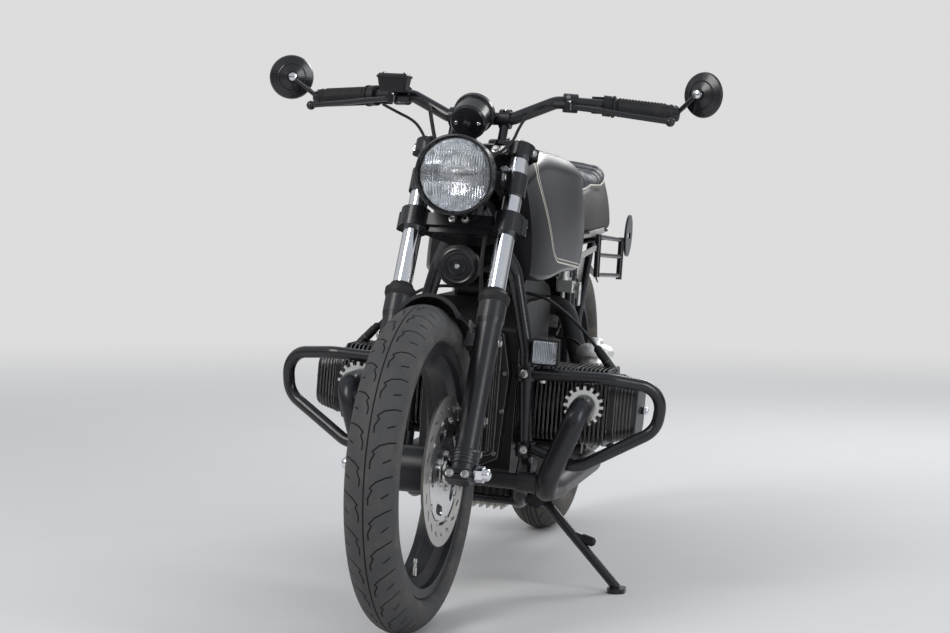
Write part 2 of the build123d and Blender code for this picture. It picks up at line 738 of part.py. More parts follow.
BAR_CAP = 14.0
with BuildPart() as mirrors:
    for side in SIDES:
        face = mirror_face(side)
        # Weight in the bar's end, bowl with its rim, pivot ball and arm
        outward = bar_point(-1, side) - bar_point(0, side)
        turned_piece(bar_point(-RUNNING, side), outward, [(0, 15), (BAR_CAP - 3, 15), (BAR_CAP, 12)])
        bowl = [(0, 12), (5, 26), (MIRROR_DEPTH - 5, MIRROR_R - 2), (MIRROR_DEPTH, MIRROR_R)]
        bowl += [(MIRROR_DEPTH + 2, MIRROR_R - 1)]
        pole = face.from_local_coords(Vector(0, 0, -MIRROR_DEPTH))
        turned_piece(pole, face.z_dir, bowl)
        with BuildSketch(face.offset(2)) as glass_seat:
            Circle(MIRROR_R - 3)
        extrude(glass_seat.sketch, amount=-5, mode=Mode.SUBTRACT)
        joint = pole - face.z_dir * 6
        rod(joint, pole + face.z_dir, 9)
        rod(bar_point(-BAR_CAP / 2, side), joint, 5)
mirrors.part.label = "mirrors"

with BuildPart() as mirror_glass:
    for side in SIDES:
        with BuildSketch(mirror_face(side).offset(-2.9)) as pane:
            Circle(MIRROR_R - 3.2)
        extrude(pane.sketch, amount=2)
mirror_glass.part.label = "mirror_glass"

SWITCH_BACK = GRIP_L + 2
with BuildPart() as switch_blocks:
    for side in SIDES:
        rod(bar_point(SWITCH_BACK + 16, side), bar_point(SWITCH_BACK, side), 21)
        centre = bar_point(SWITCH_BACK + 24, side)
        shell_face = Plane(origin=centre + Vector(0, 18, -17), x_dir=(BAR_DIR.X, side * BAR_DIR.Y, 0))
        with BuildSketch(shell_face) as shell:
            RectangleRounded(38, 26, 6)
        extrude(shell.sketch, amount=34)
        # Thumb button on the face that looks back
        rod(centre + Vector(0, 30, 2), centre + Vector(0, 36, 2), 7)
        drill(bar_point(SWITCH_BACK + 60, side), bar_point(0, side), BAR_R + FIT)
switch_blocks.part.label = "switch_blocks"


def perch_point(x, side):
    """A point of the bar between its bend and its straight end."""
    share = (x - BAR_BEND[0]) / (BAR_KNEE[0] - BAR_BEND[0])
    point = [p + share * (q - p) for p, q in zip(BAR_BEND, BAR_KNEE)]
    return Vector(*over_yoke(side * point[0], *point[1:]))


# Lever's pivot and run, from the perch's middle on the bar: X out, back, up
LEVER_PIVOT = (8.0, -46.0, -8.0)
LEVER_RUN = [LEVER_PIVOT, (56.0, -32.0, -12.0), (124.0, -6.0, -20.0), (202.0, 16.0, -28.0)]
LEVER_R = 5.5
CONTROL_END = (26.0, -34.0, -5.0)  # where hose or cable leaves, from the perch: X in, back, up
with BuildPart() as lever_perches:
    for side in SIDES:
        middle = perch_point(PERCH_X, side)
        rod(perch_point(PERCH_X - 13, side), perch_point(PERCH_X + 13, side), BAR_R + 6.5)
        # Arm to the lever's pivot
        pivot = middle + Vector(side * LEVER_PIVOT[0], *LEVER_PIVOT[1:])
        with BuildSketch(Plane.XY.offset(middle.Z - 9)) as arm:
            with BuildLine():
                x, y = side * 11, middle.Y
                end = pivot.Y + 9
                ends = [(middle.X + x, y), (pivot.X + x, end), (pivot.X - x, end)]
                Polyline((middle.X - x, y), *ends, close=True)
            make_face()
        extrude(arm.sketch, amount=14)
        # Master cylinder on the right, cable adjuster on the left
        inner = middle + Vector(-side * CONTROL_END[0], *CONTROL_END[1:])
        rod(inner + LEFT * side * 26, inner, 9 if side < 0 else 6)
        drill(perch_point(PERCH_X - 20, side), perch_point(PERCH_X + 20, side), BAR_R + FIT)
lever_perches.part.label = "lever_perches"

with BuildPart() as levers:
    for side in SIDES:
        middle = perch_point(PERCH_X, side)
        run = [tuple(middle + Vector(side * x, y, z)) for x, y, z in LEVER_RUN]
        tube(run, 60, LEVER_R)
        with Locations(run[-1]):
            Sphere(LEVER_R + 4)
        rod(Vector(*run[0]) - Vector(0, 0, 7), Vector(*run[0]) + Vector(0, 0, 7), 8.8)
levers.part.label = "levers"

RESERVOIR_AT = (5.0, -46.0, 6.0)  # middle of the cup's foot, from the perch: X out, back, up
with BuildPart() as reservoir:
    middle = perch_point(PERCH_X, -1) + Vector(-RESERVOIR_AT[0], *RESERVOIR_AT[1:])
    with BuildSketch(Plane.XY.offset(middle.Z)) as foot:
        with Locations((middle.X, middle.Y)):
            RectangleRounded(54, 34, 6)
    with BuildSketch(Plane.XY.offset(middle.Z + 28)) as mouth:
        with Locations((middle.X, middle.Y)):
            RectangleRounded(62, 41, 6)
    loft([foot.sketch.faces()[0], mouth.sketch.faces()[0]])
    # Lid with its bevel
    with BuildSketch(Plane.XY.offset(middle.Z + 28)) as lid:
        with Locations((middle.X, middle.Y)):
            RectangleRounded(66, 45, 7)
    extrude(lid.sketch, amount=5)
    with BuildSketch(Plane.XY.offset(middle.Z + 33)) as top:
        with Locations((middle.X, middle.Y)):
            RectangleRounded(62, 41, 6)
    extrude(top.sketch, amount=4, taper=30)
    # Foot on the perch's arm
    block((middle.X + 3, middle.Y + 14, middle.Z - 0.45), (20, 10, 0.9))
reservoir.part.label = "reservoir"

# Lamp and gauge

LAMP_C = tuple(fork_point(0, 0, LAMP_S) - Vector(0, LAMP_AHEAD, 0))
EAR_X = LAMP_R + 0.5
LENS_R = LAMP_R - 6.2
LAMP_PIVOT = 52.0  # lamp's pivot behind its rim


def gland_place(side):
    """Where a cable enters the lamp's shell, and the way that its gland points."""
    way = Vector(side * 0.7125, 0.5, 0.5).normalized()
    return Vector(*LAMP_C) + Vector(side * 52, 70, 36.4), way


lamp_side = Plane(origin=LAMP_C, x_dir=(0, 1, 0), z_dir=(-1, 0, 0))
lamp_axis = Axis(LAMP_C, (0, 1, 0))
with BuildPart() as headlamp_shell:
    with BuildSketch(lamp_side) as section:
        with BuildLine():
            inner, outer = LAMP_R - 2 - LAMP_WALL, LAMP_R - 2
            tail, tail_in = LAMP_DEPTH, LAMP_DEPTH - LAMP_WALL
            Polyline((14, inner), (14, outer), (30, outer))
            ThreePointArc((30, outer), (84, outer - 24), (tail, 22))
            Polyline((tail, 22), (tail, 0), (tail_in, 0), (tail_in, 20))
            ThreePointArc((tail_in, 20), (82, outer - 27), (30, inner))
            Line((30, inner), (14, inner))
        make_face()
    revolve(section.sketch, axis=lamp_axis)
    for side in SIDES:
        boss = Vector(side * (LAMP_R - 10), LAMP_C[1] + LAMP_PIVOT, LAMP_C[2])
        rod(boss, Vector(side * (EAR_X - SEAT_GAP), boss.Y, boss.Z), 11)
        gland, way = gland_place(side)
        rod(gland - way * 6, gland + way * 8, 6)
headlamp_shell.part.label = "headlamp_shell"

with BuildPart() as headlamp_rim:
    with BuildSketch(lamp_side) as section:
        with BuildLine():
            Polyline((13.8, LENS_R + 0.2), (13.8, LAMP_R), (-1, LAMP_R))
            ThreePointArc((-1, LAMP_R), (-4.5, LAMP_R - 2), (-5, LAMP_R - 4.5))
            Polyline((-5, LAMP_R - 4.5), (-3, LENS_R + 0.2), (13.8, LENS_R + 0.2))
        make_face()
    revolve(section.sketch, axis=lamp_axis)
headlamp_rim.part.label = "headlamp_rim"

with BuildPart() as headlamp_lens:
    with BuildSketch(lamp_side) as section:
        with BuildLine():
            Polyline((-8, 0), (10, 0), (10, LENS_R), (5, LENS_R))
            cap_arc(5, LENS_R, -8)
        make_face()
    revolve(section.sketch, axis=lamp_axis)
headlamp_lens.part.label = "headlamp_lens"

EAR_S = (LAMP_S - 45, LAMP_S + 2)
with BuildPart() as lamp_brackets:
    for side in SIDES:
        low, high = (fork_point(side * TUBE_X, 0, s) for s in EAR_S)
        rod(low, high, STANCHION_R + 5)
        # Plate from the stanchion's collar to the lamp's pivot
        x, y, z = LAMP_C
        with BuildSketch(Plane(origin=(side * EAR_X, 0, 0), x_dir=(0, 1, 0), z_dir=LEFT)) as ear:
            with BuildLine():
                front_y, rear_y = y + LAMP_PIVOT - 14, y + LAMP_AHEAD + 2
                Polyline(
                    (front_y, z - 17),
                    (front_y + 32, z - 23),
                    (rear_y - 6, z - 34),
                    (rear_y + 4, z - 7),
                    (rear_y - 6, z + 15),
                    (front_y + 32, z + 23),
                    (front_y, z + 17),
                    close=True,
                )
            make_face()
            fillet(ear.vertices().group_by(Axis.Y)[0], 9)
        extrude(ear.sketch, amount=side * 5)
        hole = [fork_point(side * TUBE_X, 0, s) for s in (EAR_S[0] - 30, EAR_S[1] + 30)]
        drill(*hole, STANCHION_R + FIT)
lamp_brackets.part.label = "lamp_brackets"

with BuildPart() as speedometer:
    gauge_c = Vector(*over_yoke(*GAUGE_PLACE))
    gauge_way = Vector(0, cos(radians(GAUGE_TILT)), sin(radians(GAUGE_TILT)))
    # Can from its cable ferrule to its bezel
    can = [(-42, 6), (-34, 9), (-26, 9), (-26, GAUGE_R - 9), (-20, GAUGE_R - 5), (20, GAUGE_R - 4)]
    can += [(22, GAUGE_R), (32, GAUGE_R), (34, GAUGE_R - 3), (30, GAUGE_R - 5)]
    turned_piece(gauge_c, gauge_way, can)
    post = fork_point(gauge_c.X, -13, TOP_YOKE_FACE + SEAT_GAP)
    rod(post, post + RAKE_DIR * 22, 8)
speedometer.part.label = "speedometer"

# Hoses and cables that turn with the fork, from their controls to the lamp, the yoke and the caliper

HOSE_R = 4.0
CABLE_R = 3.0


def control_end(side):
    """Where a hose or cable leaves its control."""
    return perch_point(PERCH_X, side) + Vector(-side * (CONTROL_END[0] + SEAT_GAP), *CONTROL_END[1:])


def to_lamp(side):
    """Last two points of a cable that ends in a gland of the lamp."""
    gland, way = gland_place(side)
    return [tuple(gland + way * 50), tuple(gland + way * (8 + SEAT_GAP))]


yoke_hose = [(-SPLITTER_X, 0, SPLITTER_TOP_S + 44), (-SPLITTER_X, 0, SPLITTER_TOP_S + SEAT_GAP)]
caliper_hose = [
    (SPLITTER_X, 0, SPLITTER_LOW_S - SEAT_GAP),
    (SPLITTER_X, 0, SPLITTER_LOW_S - 50),
    (58, 36, 380),
    (76, 50, 285),
    (78, 70, 232),
]
caliper_end = [tuple(hose_foot + hose_way * r) for r in (DISC_R + 72, DISC_R + 20 + SEAT_GAP)]
CONTROL_RUNS = (
    # name, radius, its points
    (
        "upper brake hose",
        HOSE_R,
        [tuple(control_end(-1)), tuple(control_end(-1) + LEFT * 40), over_yoke(-88, -22, 44), over_yoke(-64, -53, -16)]
        + [tuple(fork_point(*p)) for p in yoke_hose],
    ),
    ("lower brake hose", HOSE_R, [tuple(fork_point(*p)) for p in caliper_hose] + caliper_end),
    (
        "clutch cable",
        CABLE_R,
        [tuple(control_end(1)), tuple(control_end(1) - LEFT * 34), over_yoke(96, -25, 47), *to_lamp(1)],
    ),
    (
        "throttle cable",
        CABLE_R,
        [over_yoke(-220.4, 69, 76), over_yoke(-190, 64, 62), over_yoke(-140, 24, 46)]
        + [over_yoke(-106, -30, 26), *to_lamp(-1)],
    ),
)
with BuildPart() as control_cables:
    smallest_bend = {name: cable(points, radius) / (2 * radius) for name, radius, points in CONTROL_RUNS}
control_cables.part.label = "control_cables"

# Frame: head tube, backbone, and a loop of tube on each side of the engine

E = ENGINE_Y
DOWN_TUBE = [
    (18, HEAD.Y + 6, HEAD.Z - 30),
    (80, E - 25, 682),
    (118, E - 20, 520),
    (131, E - 6, 296),
]
UPRIGHT_TOP = (RAIL_X, PIVOT_Y - 13, RAIL_Z - RAIL_R - 6.7)
LOOP = DOWN_TUBE + [
    (CRADLE_X, E + 38, CRADLE_Z),
    (CRADLE_X, PIVOT_Y - 70, CRADLE_Z),
    (CRADLE_X, PIVOT_Y - 27, 400),
    UPRIGHT_TOP,
]
BACKBONE = [(0, HEAD.Y + 10, HEAD.Z - 19), (0, E + 120, 775), (0, E + 458, 742)]
STAND_GAP = 0.3
with BuildPart() as main_frame:
    head_low, head_top = (STEER_AXIS.position + RAKE_DIR * s for s in (HEAD_LOW_S, HEAD_TOP_S))
    rod(head_low, head_top, HEAD_TUBE_R)
    tube(BACKBONE, 200, BACKBONE_R)
    for run in both(LOOP):
        tube(run, 45, TUBE_R)
    # Cross tubes: (half width, y, z, radius)
    for x, y, z, r in (
        (80, E - 25, 682, 11),
        (CRADLE_X, E + 34, CRADLE_Z + 3, 9),
        (CRADLE_X, PIVOT_Y - 95, CRADLE_Z, 12),
        (107, PIVOT_Y - 21, 520, 12),
    ):
        rod((-x, y, z), (x, y, z), r)
    for side in SIDES:
        rod((0, E + 442, 738), (side * 102, PIVOT_Y - 18, 630), 12)
        # Gusset between the head tube and the down tube
        rod((side * 12, HEAD.Y + 40, HEAD.Z - 44), (side * 62, E - 22, 700), 9)
        # Lugs that carry the engine
        for back in ENGINE_LUGS:
            block((side * 98, E + back, CRADLE_Z + 20.4), (22, 30, 26.8))
    # Lugs that carry the tank, through its tunnel
    for back, z in TANK_LUGS:
        rod((-TUNNEL_HALF + 0.3, E + back, z), (TUNNEL_HALF - 0.3, E + back, z), 12)
    # Seats of the head bearings, and the side stand's bracket
    drill(head_low - RAKE_DIR * 50, head_top + RAKE_DIR * 50, STEM_R + RUNNING)
    with BuildSketch(Plane.XZ.offset(-(STAND_PIVOT[1] - EYE_R - 2))) as web:
        with BuildLine():
            Polyline(
                (CRADLE_X, CRADLE_Z + 12),
                (STAND_X + 1, STAND_Z + 22),
                (STAND_X + 22, STAND_Z + 3.6),
                (STAND_X - 1, STAND_Z - 22),
                (CRADLE_X, CRADLE_Z - 12),
                close=True,
            )
        make_face()
    extrude(web.sketch, amount=10)
    for near in (-EYE_T / 2 - STAND_GAP - CHEEK_T, EYE_T / 2 + STAND_GAP):
        with BuildSketch(STAND_PLANE.offset(near)) as cheek:
            Circle(EYE_R)
            with Locations((0, -EYE_R / 2 - 4)):
                Rectangle(2 * EYE_R, EYE_R + 8)
        extrude(cheek.sketch, amount=CHEEK_T)
    rod(*[STAND_PLANE.from_local_coords(Vector(0, 0, s * (EYE_T / 2 + CHEEK_T))) for s in (-1, 1)], PIN_R)
main_frame.part.label = "main_frame"

TANK_Y = HEAD.Y + TANK_BACK
SEAT_Y = TANK_Y + TANK_L + SEAT_GAP_Y
SEAT_END = SEAT_Y + SEAT_L
RAIL_Y = PIVOT_Y - 35
RAIL_END_Y = SEAT_END - 49
STRUT = ((RAIL_X, PIVOT_Y + 275, RAIL_Z), (112, PIVOT_Y, 420))
with BuildPart() as subframe:
    rail_end_z = RAIL_Z + RAIL_RISE
    rail = [(0, RAIL_Y, RAIL_Z), (RAIL_X, RAIL_Y, RAIL_Z)]
    rail += [(RAIL_X, RAIL_END_Y, rail_end_z), (0, RAIL_END_Y, rail_end_z)]
    for run in both(rail):
        tube(run, 40, RAIL_R)
    for side in SIDES:
        block((side * RAIL_X, UPRIGHT_TOP[1] + 2, RAIL_Z - 9), (34, 34, 17), 4)
        rod(*[(side * p[0], *p[1:]) for p in STRUT], 9)
        block((side * 112, PIVOT_Y - 1.8, 412), (24, 16, 40), 3)
subframe.part.label = "subframe"

# Engine: plain inside, with its covers, fins and pipes

with BuildPart() as crankcase:
    with BuildSketch(Plane.YZ) as side_view:
        with BuildLine():
            Polyline(
                (E, 262),
                (E, 560),
                (E + 60, CASE_TOP),
                (CASE_REAR_Y, CASE_TOP),
                (CASE_REAR_Y, CASE_LOW),
                (E + 40, CASE_LOW),
                close=True,
            )
        make_face()
        fillet(side_view.vertices(), 18)
    extrude(side_view.sketch, amount=CASE_HALF, both=True)
    for side, y in BANKS:
        base_face = Plane(origin=(side * CASE_HALF, y, CRANK_Z), x_dir=(0, 1, 0), z_dir=(side, 0, 0))
        with BuildSketch(base_face) as base:
            RectangleRounded(150, 140, 30)
        extrude(base.sketch, amount=BARREL_X - CASE_HALF)
        # Webs over and under the cylinder's foot
        for z in (CRANK_Z - 96, CRANK_Z + 96):
            block((side * (CASE_HALF + 2), y, z), (4, 120, 5))
    # Ignition coil under the tank
    rod((-COIL_X, E + 100, COIL_Z), (COIL_X, E + 100, COIL_Z), 20)
crankcase.part.label = "crankcase"

COVER_OUTLINE = [(78, 290), (88, 470), (70, 555), (-70, 555), (-88, 470), (-78, 290), (-40, 272), (40, 272)]
with BuildPart() as front_cover:
    with BuildSketch(Plane.XZ.offset(SEAT_GAP - E)) as plate:
        with BuildLine():
            Polyline(*COVER_OUTLINE, close=True)
        make_face()
        fillet(plate.vertices(), 14)
    extrude(plate.sketch, amount=24, taper=8)
    # Ribs between an upper and a lower frame on its face
    with BuildSketch(Plane.XZ.offset(20 - E)) as ribs:
        with Locations((0, 415)):
            RectangleRounded(132, 236, 16)
            RectangleRounded(118, 222, 12, mode=Mode.SUBTRACT)
            with GridLocations(15, 1, 8, 1):
                Rectangle(5, 226)
    extrude(ribs.sketch, amount=9)
front_cover.part.label = "front_cover"

SUMP_RIB_PITCH = 15.0
SUMP_PROFILE = [(E + 48, CASE_LOW - 0.2), (E + 65, SUMP_Z + 6)]
SUMP_PROFILE += [(E + 250, SUMP_Z + 6), (E + 272, CASE_LOW - 0.2)]
with BuildPart() as sump:
    with BuildSketch(Plane.YZ) as body:
        with BuildLine():
            Polyline(*SUMP_PROFILE, close=True)
        make_face()
    extrude(body.sketch, amount=84, both=True)
    # Each rib runs down the front, along the bottom and up the back
    for step in range(-5, 6):
        with BuildSketch(Plane.YZ.offset(step * SUMP_RIB_PITCH)) as rib:
            with BuildLine():
                out = [(y + (6 if y > E + 150 else -6), z) for y, z in SUMP_PROFILE]
                out[1], out[2] = (out[1][0], SUMP_Z), (out[2][0], SUMP_Z)
                Polyline(*out, close=True)
            make_face()
        extrude(rib.sketch, amount=2, both=True)
sump.part.label = "sump"

with BuildPart() as gearbox:
    with BuildSketch(Plane.XZ.offset(-CASE_REAR_Y - SEAT_GAP)) as front_end:
        with Locations((0, 400)):
            RectangleRounded(180, 310, 34)
    with BuildSketch(Plane.XZ.offset(PIVOT_GAP - PIVOT_Y)) as rear_end:
        with Locations((-14, 385)):
            RectangleRounded(140, 220, 34)
    loft([front_end.sketch.faces()[0], rear_end.sketch.faces()[0]])
gearbox.part.label = "gearbox"

with BuildPart() as air_box:
    with BuildSketch(Plane.YZ) as side_view:
        with BuildLine():
            Polyline(
                (E + 120, CASE_TOP + 0.2),
                (E + 135, 655),
                (E + 295, 655),
                (E + 420, 630),
                (E + 460, 600),
                (E + 460, 565),
                (CASE_REAR_Y + 1, 565),
                (CASE_REAR_Y + 1, CASE_TOP + 0.2),
                close=True,
            )
        make_face()
        fillet([v for v in side_view.vertices() if v.Y > CASE_TOP + 10 or v.X > E + 440], 12)
    extrude(side_view.sketch, amount=AIR_BOX_X, both=True)
air_box.part.label = "air_box"

BARREL_FINS = int((HEAD_X - BARREL_X - 10) / FIN_PITCH) + 1
HEAD_FINS = int((COVER_X - HEAD_X - 5) / FIN_PITCH) + 1
PUSHROD_Z = CYL_Z - 88
with BuildPart() as cylinders:
    for side, y in BANKS:
        bank = Plane(origin=(side * (BARREL_X + SEAT_GAP), y, CYL_Z), x_dir=(0, 1, 0), z_dir=(side, 0, 0))
        with BuildSketch(bank) as barrel:
            Circle(57)
        extrude(barrel.sketch, amount=HEAD_X - BARREL_X - 2 * SEAT_GAP)
        with BuildSketch(bank) as foot:
            RectangleRounded(126, 122, 26)
        extrude(foot.sketch, amount=5)
        for step in range(BARREL_FINS):
            with BuildSketch(bank.offset(7 + step * FIN_PITCH)) as fin:
                RectangleRounded(FIN_W, FIN_H, 22)
            extrude(fin.sketch, amount=FIN_T)
        for back in (-34, 34):
            start = (side * (CASE_HALF + SEAT_GAP), y + back, PUSHROD_Z)
            rod(start, (side * (HEAD_X - SEAT_GAP), y + back, PUSHROD_Z), 9)
            # Web that ties the pushrod tube to the fins
            block((side * (HEAD_X - 8), y + back, PUSHROD_Z + 10), (14, 6, 14))
cylinders.part.label = "cylinders"


def plug_point(side, y, out, up):
    """A point on the spark plug's axis, from the top of its boss: out along X, and up."""
    return (side * (PLUG_X + out), y + 16, PLUG_Z + up)


with BuildPart() as cylinder_heads:
    for side, y in BANKS:
        bank = Plane(origin=(side * HEAD_X, y, CYL_Z), x_dir=(0, 1, 0), z_dir=(side, 0, 0))
        with BuildSketch(bank) as core:
            RectangleRounded(130, 120, 26)
        extrude(core.sketch, amount=COVER_X - HEAD_X)
        for step in range(HEAD_FINS):
            with BuildSketch(bank.offset(3 + step * FIN_PITCH)) as fin:
                RectangleRounded(FIN_W + 6, FIN_H + 6, 22)
            extrude(fin.sketch, amount=FIN_T)
        for back in (-34, 34):
            rod((side * HEAD_X, y + back, PUSHROD_Z), (side * (HEAD_X + 20), y + back, PUSHROD_Z), 13)
        # Exhaust port in front, inlet port behind, spark plug's boss on top
        rod((side * PORT_X, y - 50, PORT_Z), (side * PORT_X, y - PORT_L, PORT_Z), HEADER_R + 5.5)
        rod(inlet_point(side, y, 0), inlet_point(side, y, INLET_L), 20)
        rod(plug_point(side, y, 12, -14), plug_point(side, y, -8, 9.35), 10)
cylinder_heads.part.label = "cylinder_heads"

with BuildPart() as rocker_covers:
    for side, y in BANKS:
        face = Plane(origin=(side * (COVER_X + SEAT_GAP), y, CYL_Z - 3), x_dir=(0, 1, 0), z_dir=(side, 0, 0))
        with BuildSketch(face) as flange:
            RectangleRounded(160, 136, 40)
        extrude(flange.sketch, amount=14)
        with BuildSketch(face.offset(14)) as dome:
            RectangleRounded(152, 128, 38)
        extrude(dome.sketch, amount=COVER_T - 24, taper=14)
        crown = rocker_covers.faces().sort_by(Axis.X)[-1 if side > 0 else 0]
        fillet(crown.edges(), 10)
        for z in (-33, -11, 11, 33):
            with BuildSketch(face.offset(10)) as rib:
                with Locations((0, z)):
                    RectangleRounded(126 - abs(z) / 2, 7, 3)
            extrude(rib.sketch, amount=COVER_T - 30)
        # Nut in the middle
        rod((side * (COVER_X + 20), y, CYL_Z - 3), (side * (COVER_X + COVER_T - 2), y, CYL_Z - 3), 8)
rocker_covers.part.label = "rocker_covers"

NUT_T = 26.0
with BuildPart() as exhaust_nuts:
    for side, y in BANKS:
        face = Plane(origin=(side * PORT_X, y - PORT_L - 0.2, PORT_Z), x_dir=(side, 0, 0), z_dir=(0, -1, 0))
        with BuildSketch(face) as star:
            Circle(33)
            with PolarLocations(35, 16):
                Rectangle(12, 6)
            Circle(HEADER_R + 0.2, mode=Mode.SUBTRACT)
        extrude(star.sketch, amount=NUT_T)
        with BuildSketch(face.offset(NUT_T / 2 - 2)) as groove:
            Circle(45)
            Circle(34, mode=Mode.SUBTRACT)
        extrude(groove.sketch, amount=4, mode=Mode.SUBTRACT)
exhaust_nuts.part.label = "exhaust_nuts"

FRONT_PIPE_Y = E - 66
SILENCER_Y = PIVOT_Y + 140


def header(side, y):
    """One header: from its port forward, down and back under the engine."""
    return [
        (side * PORT_X, y - PORT_L - 0.4, PORT_Z),
        (side * PORT_X, FRONT_PIPE_Y, PORT_Z),
        (side * 182, FRONT_PIPE_Y - 10, PIPE_Z + 6),
        (side * PIPE_X, E + 40, PIPE_Z),
        (side * PIPE_X, PIVOT_Y - 40, PIPE_Z + 3),
        (side * SILENCER_X, PIVOT_Y + 105, SILENCER_Z),
        (side * SILENCER_X, SILENCER_Y, SILENCER_Z),
    ]


with BuildPart() as exhaust_headers:
    for side, y in BANKS:
        tube(header(side, y), [40, 44, 44, 60, 60], HEADER_R)
        # Sleeves where the cross pipe joins
        rod((side * 130, FRONT_PIPE_Y, PIPE_Z + 19), (side * 168, FRONT_PIPE_Y, PIPE_Z + 19), CROSS_R + 4)
    rod((-184, FRONT_PIPE_Y, PIPE_Z + 19), (184, FRONT_PIPE_Y, PIPE_Z + 19), CROSS_R)
exhaust_headers.part.label = "exhaust_headers"

SILENCER_L = WHEELBASE - DRIVE_R - DRIVE_CLEAR - SILENCER_Y
with BuildPart() as silencers:
    for side in SIDES:
        start = (side * SILENCER_X, SILENCER_Y + 0.2, SILENCER_Z)
        cone = SILENCER_R - HEADER_R + 46
        outline = [(0, HEADER_R + 4), (22, HEADER_R + 4), (cone, SILENCER_R), (SILENCER_L - 30, SILENCER_R)]
        outline += [(SILENCER_L - 8, SILENCER_R - 9), (SILENCER_L, SILENCER_R - 10)]
        turned_piece(start, (0, 1, 0), outline)
        end = Vector(*start) + Vector(0, SILENCER_L, 0)
        drill(end - Vector(0, 90, 0), end + Vector(0, 1, 0), SILENCER_R - 16)
silencers.part.label = "silencers"

CARB_AT = 86.0
DUCT_AT = 130.0
with BuildPart() as carburettors:
    for side, y in BANKS:
        rod(inlet_point(side, y, INLET_L + 0.2), inlet_point(side, y, INLET_L + 9), 31)
        rod(inlet_point(side, y, INLET_L + 5), inlet_point(side, y, DUCT_AT), 25)
        x, back, z = inlet_point(side, y, CARB_AT)
        with Locations(Location((x, back, z - 25), (0, 0, side * INLET_TURN))):
            Box(54, 60, 60)
        # Float bowl with its plug, then the slide's dome with its cap
        turned_piece((x, back, z - 50), (0, 0, -1), [(0, 26), (16, 26), (24, 20), (26, 8), (34, 8)])
        turned_piece(
            (x, back, z - 4),
            (0, 0, 1),
            [(0, 29), (26, 29), (28, 32), (36, 32), (38, 28), (48, 26), (58, 18), (62, 9), (70, 9)],
        )
        tip, way = fuel_inlet(side, y)
        rod(tip + way * 26, tip, 5)
carburettors.part.label = "carburettors"

with BuildPart() as inlet_ducts:
    for side, y in BANKS:
        duct = [inlet_point(side, y, DUCT_AT + 0.2), inlet_point(side, y, 215)]
        duct += [(side * 120, E + 392, 590), (side * (AIR_BOX_X + 0.2), E + 392, 590)]
        tube(duct, 38, 21)
inlet_ducts.part.label = "inlet_ducts"

# Rear: swing arm with the shaft drive, its shock absorber, mudguard

SHOCK_FOOT = Vector(-150, PIVOT_Y + 175, 345)
SHOCK_TOP = Vector(-138, PIVOT_Y + 220, RAIL_Z + 5)
drive_face = Plane(origin=REAR_AXLE - LEFT * (REAR_HUB_RIGHT + RUNNING), z_dir=(-1, 0, 0))
with BuildPart() as swing_arm:
    rod((ARM_X, PIVOT_Y, 335), (ARM_X, WHEELBASE - DRIVE_R + 12, REAR_TYRE_R), 31)
    rod((ARM_X, PIVOT_Y + 22, 335), (60, PIVOT_Y + 22, 345), 24)
    rod((ARM_X, SHOCK_FOOT.Y, SHOCK_FOOT.Z), (SHOCK_FOOT.X - 14, SHOCK_FOOT.Y, SHOCK_FOOT.Z), 9)
    # Flange where the arm is bolted to the gearbox's end of the shaft
    rod((ARM_X, PIVOT_Y + 60, 335), (ARM_X, PIVOT_Y + 68, 335), 37)
    with BuildSketch(drive_face) as socket:
        Circle(DRIVE_R + 0.2)
    extrude(socket.sketch, amount=DRIVE_T + 1, taper=DRIVE_TAPER, mode=Mode.SUBTRACT)
swing_arm.part.label = "swing_arm"

with BuildPart() as final_drive:
    with BuildSketch(drive_face) as body:
        Circle(DRIVE_R)
    extrude(body.sketch, amount=DRIVE_T, taper=DRIVE_TAPER)
    # Ribs on its outer face, between a hub and a rim
    with BuildSketch(drive_face.offset(DRIVE_T - 1)) as ribs:
        Circle(22)
        with PolarLocations(38, 8):
            Rectangle(50, 6)
    extrude(ribs.sketch, amount=5)
    hub_end = REAR_AXLE + LEFT * (REAR_HUB_LEFT + 6)
    rod(REAR_AXLE - LEFT * 70, hub_end, REAR_HUB_BORE_R - RUNNING)
    drill(hub_end, hub_end - LEFT * 110, 14)
final_drive.part.label = "final_drive"

with BuildPart() as rear_shock:
    way = (SHOCK_TOP - SHOCK_FOOT).normalized()
    long = (SHOCK_TOP - SHOCK_FOOT).length
    rod(SHOCK_FOOT, SHOCK_TOP, 8)
    rod(SHOCK_FOOT + way * 60, SHOCK_TOP - way * 45, 21)
    # Spring, drawn as a pile of rings between its two seats
    for at in (60, long - 55):
        rod(SHOCK_FOOT + way * at, SHOCK_FOOT + way * (at + 8), 31)
    for step in range(int((long - 135) / SPRING_PITCH)):
        at = 76 + step * SPRING_PITCH
        rod(SHOCK_FOOT + way * at, SHOCK_FOOT + way * (at + 8), 28)
    for end in (SHOCK_FOOT, SHOCK_TOP):
        rod(end - LEFT * 11, end + LEFT * 11, 15)
    rod(SHOCK_TOP - LEFT * 14, Vector(-RAIL_X - RAIL_R - 0.5, SHOCK_TOP.Y, SHOCK_TOP.Z), 8)
    drill(SHOCK_FOOT - LEFT * 20, SHOCK_FOOT + LEFT * 20, 9 + FIT)
rear_shock.part.label = "rear_shock"

rear_guard_r = REAR_TYRE_R + GUARD_GAP
with BuildPart() as rear_mudguard:
    add(mudguard(REAR_AXLE, rear_guard_r, REAR_GUARD_HALF, GUARD_T, GUARD_DROP, -25, 30))
    reach = RAIL_END_Y - WHEELBASE
    low = REAR_AXLE.Z + sqrt((rear_guard_r + GUARD_T) ** 2 - reach**2) - 2.5
    high = RAIL_Z + RAIL_RISE - RAIL_R - 0.3
    block((0, RAIL_END_Y, (low + high) / 2), (40, 12, high - low), 3)
rear_mudguard.part.label = "rear_mudguard"

